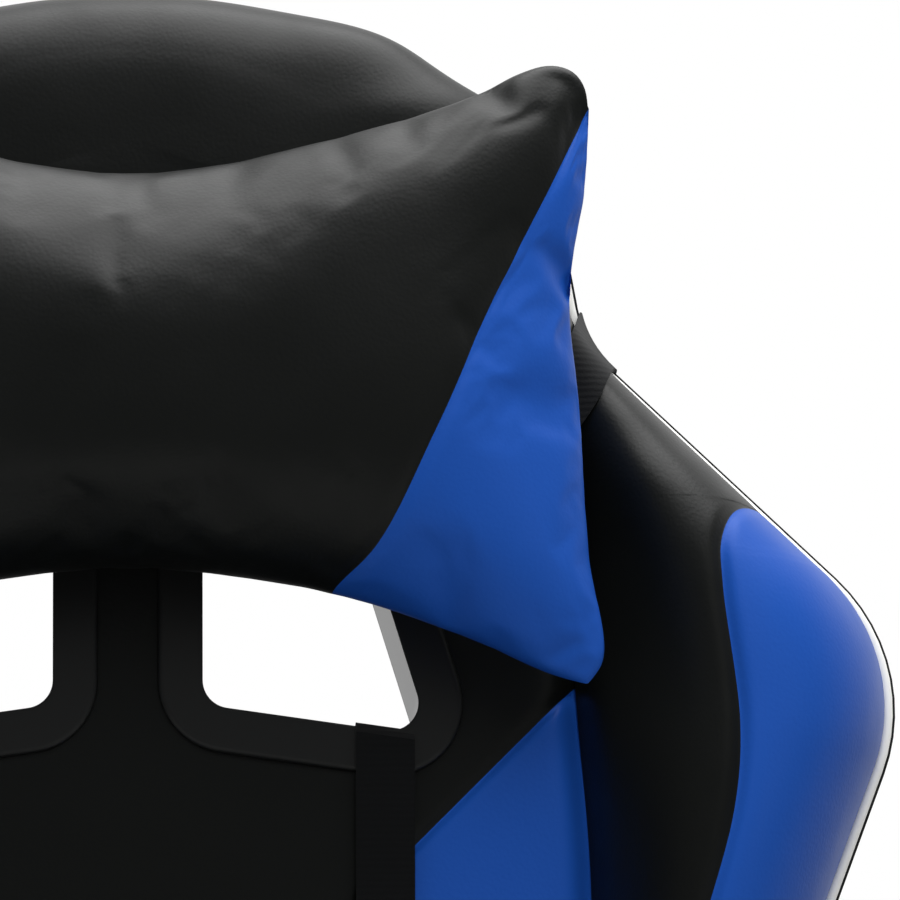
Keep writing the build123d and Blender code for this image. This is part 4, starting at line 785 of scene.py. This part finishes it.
def taut(section):
    """The line of a tight band round a section: points that it bridges are left out."""
    line = []
    for spot in section:
        while len(line) > 1:
            (ax, ay), (bx, by) = line[-1] - line[-2], spot - line[-2]
            if ax * by - ay * bx < 0:
                break
            line.pop()
        line.append(spot)
    return np.array(line)


strips = []
for t in np.linspace(-0.5, 0.5, 9):
    drop = t * NECK_BAND_W
    rim = np.array([edge_at(NECK_EDGE - NECK_OUT * drop), NECK_EDGE - NECK_OUT * drop])
    lines = []
    for line in (neck_front, neck_rear):
        turn = np.linspace(1, 0, len(line))[:, None] ** 1.5
        lines.append(line + turn * (rim - line[0]) + (1 - turn) * [0, -drop])
    reach = [np.r_[0, np.cumsum(np.linalg.norm(np.diff(line, axis=0), axis=1))]
             for line in lines]
    front = [(-r, stands_at(*spot)) for r, spot in zip(reach[0], lines[0]) if r > 5][::-1]
    rim_side = [(-1.0, 3.6), (0.0, 0.0), (0.0, -22.0), (-8.0, -SHELL_BACK)]
    rear = [(-r, -SHELL_BACK) for r in reach[1] if r > 5]
    line = even_steps(taut(np.array(front + rim_side + rear)), 170)
    for _ in range(2):
        line[1:-1] = (line[:-2] + 2 * line[1:-1] + line[2:]) / 4
    out = np.gradient(line, axis=0) @ [[0, 1], [-1, 0]]
    out /= np.linalg.norm(out, axis=1, keepdims=True)
    for over in (NECK_BAND_GAP + NECK_BAND_T, NECK_BAND_GAP):
        at = line + over * out
        walk = [[np.interp(-at[:, 0], r, spots[:, k]) for k in (0, 1)]
                for r, spots in zip(reach, lines)]
        x, height = np.where(at[:, 1] > -SHELL_BACK / 2, walk[0], walk[1])
        beyond = np.clip(at[:, 0], 0, None)
        strips.append(np.column_stack([
            x + NECK_OUT * beyond, at[:, 1], height + NECK_UP * beyond]))
ring = np.array(strips[0::2] + strips[1::2][::-1] + strips[:1]).transpose(1, 0, 2)
rings = np.concatenate([ring, ring[-2::-1] * [-1, 1, 1]])
route = rings.mean(1)
neck_band = lofted("head_pillow_strap", on_back(rings[..., 0], rings[..., 1], rings[..., 2]),
                   [strap_webbing], caps=False, sharp_deg=40)
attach(neck_band, "back")
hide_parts("head_strap")


# ---- Head pillow ----------------------------------------------------------------------
# A fibre-filled pillow with eared corners, sewn from a black centre and two blue sides.
# The band above is sewn to its rear, and it hangs in front of the head roll.
def coons(low, high, left, right):
    """A four-sided patch of points between its four edge curves."""
    u = np.linspace(0, 1, len(low))[None, :, None]
    v = np.linspace(0, 1, len(left))[:, None, None]
    ruled = (1 - v) * low[None] + v * high[None] + (1 - u) * left[:, None] + u * right[:, None]
    return ruled - ((1 - v) * ((1 - u) * low[0] + u * low[-1])
                    + v * ((1 - u) * high[0] + u * high[-1]))


def pulled_in(x, height, folds):
    """How deep the folds of a stuffed cover are. A fold runs from its deep end, where
    stitches pull, to its shallow end: x, height, x, height, width, depth."""
    total = np.zeros(x.shape)
    for x0, h0, x1, h1, width, deep in folds:
        run = np.array([x1 - x0, h1 - h0])
        along = np.clip(((x - x0) * run[0] + (height - h0) * run[1]) / (run @ run), 0, 1)
        off = np.hypot(x - x0 - along * run[0], height - h0 - along * run[1])
        total += deep * (1 - along) ** 0.7 * np.exp(-(off / width) ** 2)
    return total


def stuff(piece, limit_mm=3.5, pressure=4, slack=0.008, frames=20):
    """Blow the cover up a little against its rim seam, so that it puckers as cloth does."""
    mesh = piece.data
    before = np.empty(len(mesh.vertices) * 3)
    mesh.vertices.foreach_get("co", before)
    cloth = piece.modifiers.new("stuffing", "CLOTH")
    use = cloth.settings
    use.quality, use.mass = 6, 0.25
    use.tension_stiffness = use.compression_stiffness = 20
    use.shear_stiffness, use.bending_stiffness = 8, 0.15
    use.use_pressure, use.uniform_pressure_force = True, pressure
    use.shrink_min = -slack
    use.vertex_group_mass = "rim_seam"
    use.effector_weights.gravity = 0
    cloth.collision_settings.use_collision = False
    cloth.point_cache.frame_start, cloth.point_cache.frame_end = 1, frames
    scene = bpy.context.scene
    for step in range(1, frames + 1):
        scene.frame_set(step)
    shaped = piece.evaluated_get(bpy.context.evaluated_depsgraph_get()).to_mesh()
    after = np.empty(len(mesh.vertices) * 3)
    shaped.vertices.foreach_get("co", after)
    piece.modifiers.clear()
    scene.frame_set(1)
    move = (after - before).reshape(-1, 3)
    far = np.linalg.norm(move, axis=1, keepdims=True)
    cap = limit_mm / 1000
    move *= np.where(far > 1e-9, cap * np.tanh(far / cap) / np.maximum(far, 1e-9), 1)
    mesh.vertices.foreach_set("co", (before.reshape(-1, 3) + move).ravel())
    mesh.update()


def pillow(name, top, right, bottom, seam, rear_depth, front_depth, rows, cols, folds, seed):
    """A stuffed pillow. Its right half's edges and seam are (x, height) points."""
    top, right, bottom = curve(top, 200), curve(right, rows), curve(bottom, 200)
    seam = curve(seam, rows)
    mirror = np.array([-1, 1])

    def cut(line, spot):
        near = np.linalg.norm(line - spot, axis=1).argmin()
        return line[:near + 1], line[near:]

    top_in, top_out = cut(top, seam[-1])
    low_in, low_out = cut(bottom, seam[0])
    centre = coons(even_steps(np.concatenate([low_in[::-1] * mirror, low_in[1:]]), cols[0]),
                   even_steps(np.concatenate([top_in[::-1] * mirror, top_in[1:]]), cols[0]),
                   seam * mirror, seam)
    outer = coons(even_steps(low_out, cols[1]), even_steps(top_out, cols[1]), seam, right)
    flat = np.concatenate([outer[:, ::-1] * mirror, centre[:, 1:], outer[:, 1:]], 1)
    across = flat[..., 0] / right[:, :1]
    upward = np.linspace(-1, 1, rows)[:, None]
    fullness = np.clip((1 - np.abs(across) ** 2.8) * (1 - np.abs(upward) ** 2.4), 0, 1) ** 0.6
    middle = (rear_depth + front_depth) / 2
    reach = (front_depth - rear_depth) / 2
    spread = np.concatenate([flat, np.full(flat.shape[:2] + (1,), middle)], -1)
    front = middle + reach * fullness + 1.6 * fullness * ripple(spread, 75, seed)
    front -= pulled_in(np.abs(flat[..., 0]), flat[..., 1], folds)
    front -= groove(away_from(seam, np.abs(flat[..., 0]), flat[..., 1]), 2.6, 1.6)
    rear = middle - reach * fullness ** 0.9
    front = np.maximum(front, rear)
    panels = [(blue_leather, cols[1] - 1), (black_leather, cols[0] - 1),
              (blue_leather, cols[1] - 1)]
    piece = sewn_pad(name, on_back(flat[..., 0], front, flat[..., 1]),
                     on_back(flat[..., 0], rear, flat[..., 1]), panels, sharp_deg=80)
    rim = [v.index for v in piece.data.vertices
           if abs((v.co - Vector(on_back(0, middle, 0))).dot(ahead)) < 0.0003]
    piece.vertex_groups.new(name="rim_seam").add(rim, 1.0, "ADD")
    stuff(piece)
    smooth = piece.modifiers.new("smooth", "SUBSURF")
    smooth.levels = smooth.render_levels = 1
    return piece


HEAD_TOP = [(0, 718.7), (10, 718.9), (30, 721.3), (66, 729.5), (118, 744.8), (138, 754.5),
            (149, 757.5), (157.5, 755), (161.5, 748), (162, 741)]
HEAD_RIGHT = [(160.5, 536), (166.5, 545.5), (161.9, 581), (158.5, 634), (155, 676), (160.5, 712),
              (162, 741)]
HEAD_BOTTOM = [(0, 577.4), (12, 577.2), (70, 567.9), (112, 554.6), (148, 539.5), (160.5, 536)]
HEAD_SEAM = [(70, 567.9), (85, 581), (106, 622), (131, 677), (148, 713), (162, 741)]
# the ear's root, the pull of the strap, a soft hollow beside it, and puckers along the top
HEAD_FOLDS = [(125.5, 751, 132.5, 736, 4.6, 9), (156, 677, 144, 693, 5, 8),
              (157, 633, 128, 640, 10, 4), (3, 717, 6, 700, 4, 3), (40, 724, 33, 704, 5, 2.5),
              (72, 731, 78, 712, 4.5, 3), (98, 739, 96, 722, 4.5, 3), (112, 558, 110, 574, 6, 3)]
head_pillow = pillow("head_pillow_cover", HEAD_TOP, HEAD_RIGHT, HEAD_BOTTOM, HEAD_SEAM,
                     rear_depth=62, front_depth=144, rows=76, cols=(92, 36),
                     folds=HEAD_FOLDS, seed=41)
upholster(head_pillow, "back", "head_pillow")

# ---- Lumbar pillow --------------------------------------------------------------------
# A smaller pillow made in the same way, which slides up and down on its two straps.
LUMBAR_TOP = [(0, 294), (80, 298), (130, 305), (150, 309), (158, 307)]
LUMBAR_RIGHT = [(158, 113), (160, 122), (154, 160), (152, 210), (154, 260), (160, 298),
                (158, 307)]
LUMBAR_BOTTOM = [(0, 126), (80, 122), (130, 115), (150, 111), (158, 113)]
LUMBAR_SEAM = [(92, 121), (98, 160), (100, 210), (98, 260), (92, 299)]
LUMBAR_FOLDS = [(146, 304, 136, 290, 5, 5), (146, 116, 136, 130, 5, 5), (20, 295, 24, 276, 5, 3),
                (66, 298, 60, 280, 5, 3), (36, 124, 32, 140, 5, 3), (84, 122, 88, 138, 5, 3)]
lumbar_pillow = pillow("lumbar_pillow_cover", LUMBAR_TOP, LUMBAR_RIGHT, LUMBAR_BOTTOM,
                       LUMBAR_SEAM, rear_depth=48, front_depth=126, rows=66, cols=(76, 34),
                       folds=LUMBAR_FOLDS, seed=43)
upholster(lumbar_pillow, "lumbar", "lumbar_pillow")

# ---- Floor, light and camera ----------------------------------------------------------
# A grey studio floor, a bright sweep behind the chair, one large soft light overhead, and
# weak bounced light from the front, seen through a long lens level with the head pillow.
floor_mesh = bpy.data.meshes.new("studio_floor")
floor_mesh.from_pydata([(-5, -5, 0), (5, -5, 0), (5, 5, 0), (-5, 5, 0)], [],
                       [(0, 1, 2, 3)])
floor = bpy.data.objects.new("studio_floor", floor_mesh)
bpy.context.scene.collection.objects.link(floor)
floor_paint = finish_of("studio_floor_paint", "#a8a8a6", 0.7)[0]
floor_mesh.materials.append(floor_paint)

sky = bpy.data.worlds.new("studio_sweep")
sky.use_nodes = True
tree = sky.node_tree
way = wire(tree, "ShaderNodeTexCoord")
parts = wire(tree, "ShaderNodeSeparateXYZ", {"Vector": way.outputs["Generated"]})
bright = wire(tree, "ShaderNodeMapRange", {
    "Value": parts.outputs["Y"], "From Min": -0.15, "From Max": 0.8, "To Min": 0.15,
    "To Max": 1.0}, interpolation_type="SMOOTHSTEP")
tree.links.new(bright.outputs["Result"], tree.nodes["Background"].inputs["Strength"])
tree.nodes["Background"].inputs["Color"].default_value = (1, 1, 1, 1)
bpy.context.scene.world = sky
bpy.context.scene.view_settings.view_transform = "Standard"

for name, spot, aim, size, power, mirrored in (
        ("overhead_softbox", (0.35, 0.3, 3.0), (0.05, 0.25, 1.1), 2.6, 68, True),
        ("front_bounce", (0.5, -2.1, 2.6), (0.05, 0.1, 0.9), 2.0, 42, False),
        ("left_bounce", (-2.2, -1.6, 1.5), (0, 0.1, 0.9), 1.4, 6, False),
        ("right_bounce", (2.2, -1.4, 1.3), (0, 0.1, 0.9), 1.2, 6, False)):
    lamp = bpy.data.lights.new(name, "AREA")
    lamp.energy, lamp.size, lamp.shape = power, size, "DISK"
    stand = bpy.data.objects.new(name, lamp)
    stand.location = spot
    stand.rotation_euler = (Vector(aim) - Vector(spot)).to_track_quat("-Z", "Y").to_euler()
    stand.visible_glossy = mirrored
    bpy.context.scene.collection.objects.link(stand)

CAMERA_AT, CAMERA_AIM, CAMERA_LENS = (0.0, -3.112, 1.0), (0.1159, 0.288, 1.0596), 378.06
lens = bpy.data.cameras.new("camera")
lens.lens, lens.sensor_width, lens.clip_end = CAMERA_LENS, 36, 50
camera = bpy.data.objects.new("camera", lens)
camera.location = CAMERA_AT
facing = Vector(CAMERA_AIM) - Vector(CAMERA_AT)
camera.rotation_euler = facing.to_track_quat("-Z", "Y").to_euler()
bpy.context.scene.collection.objects.link(camera)
bpy.context.scene.camera = camera
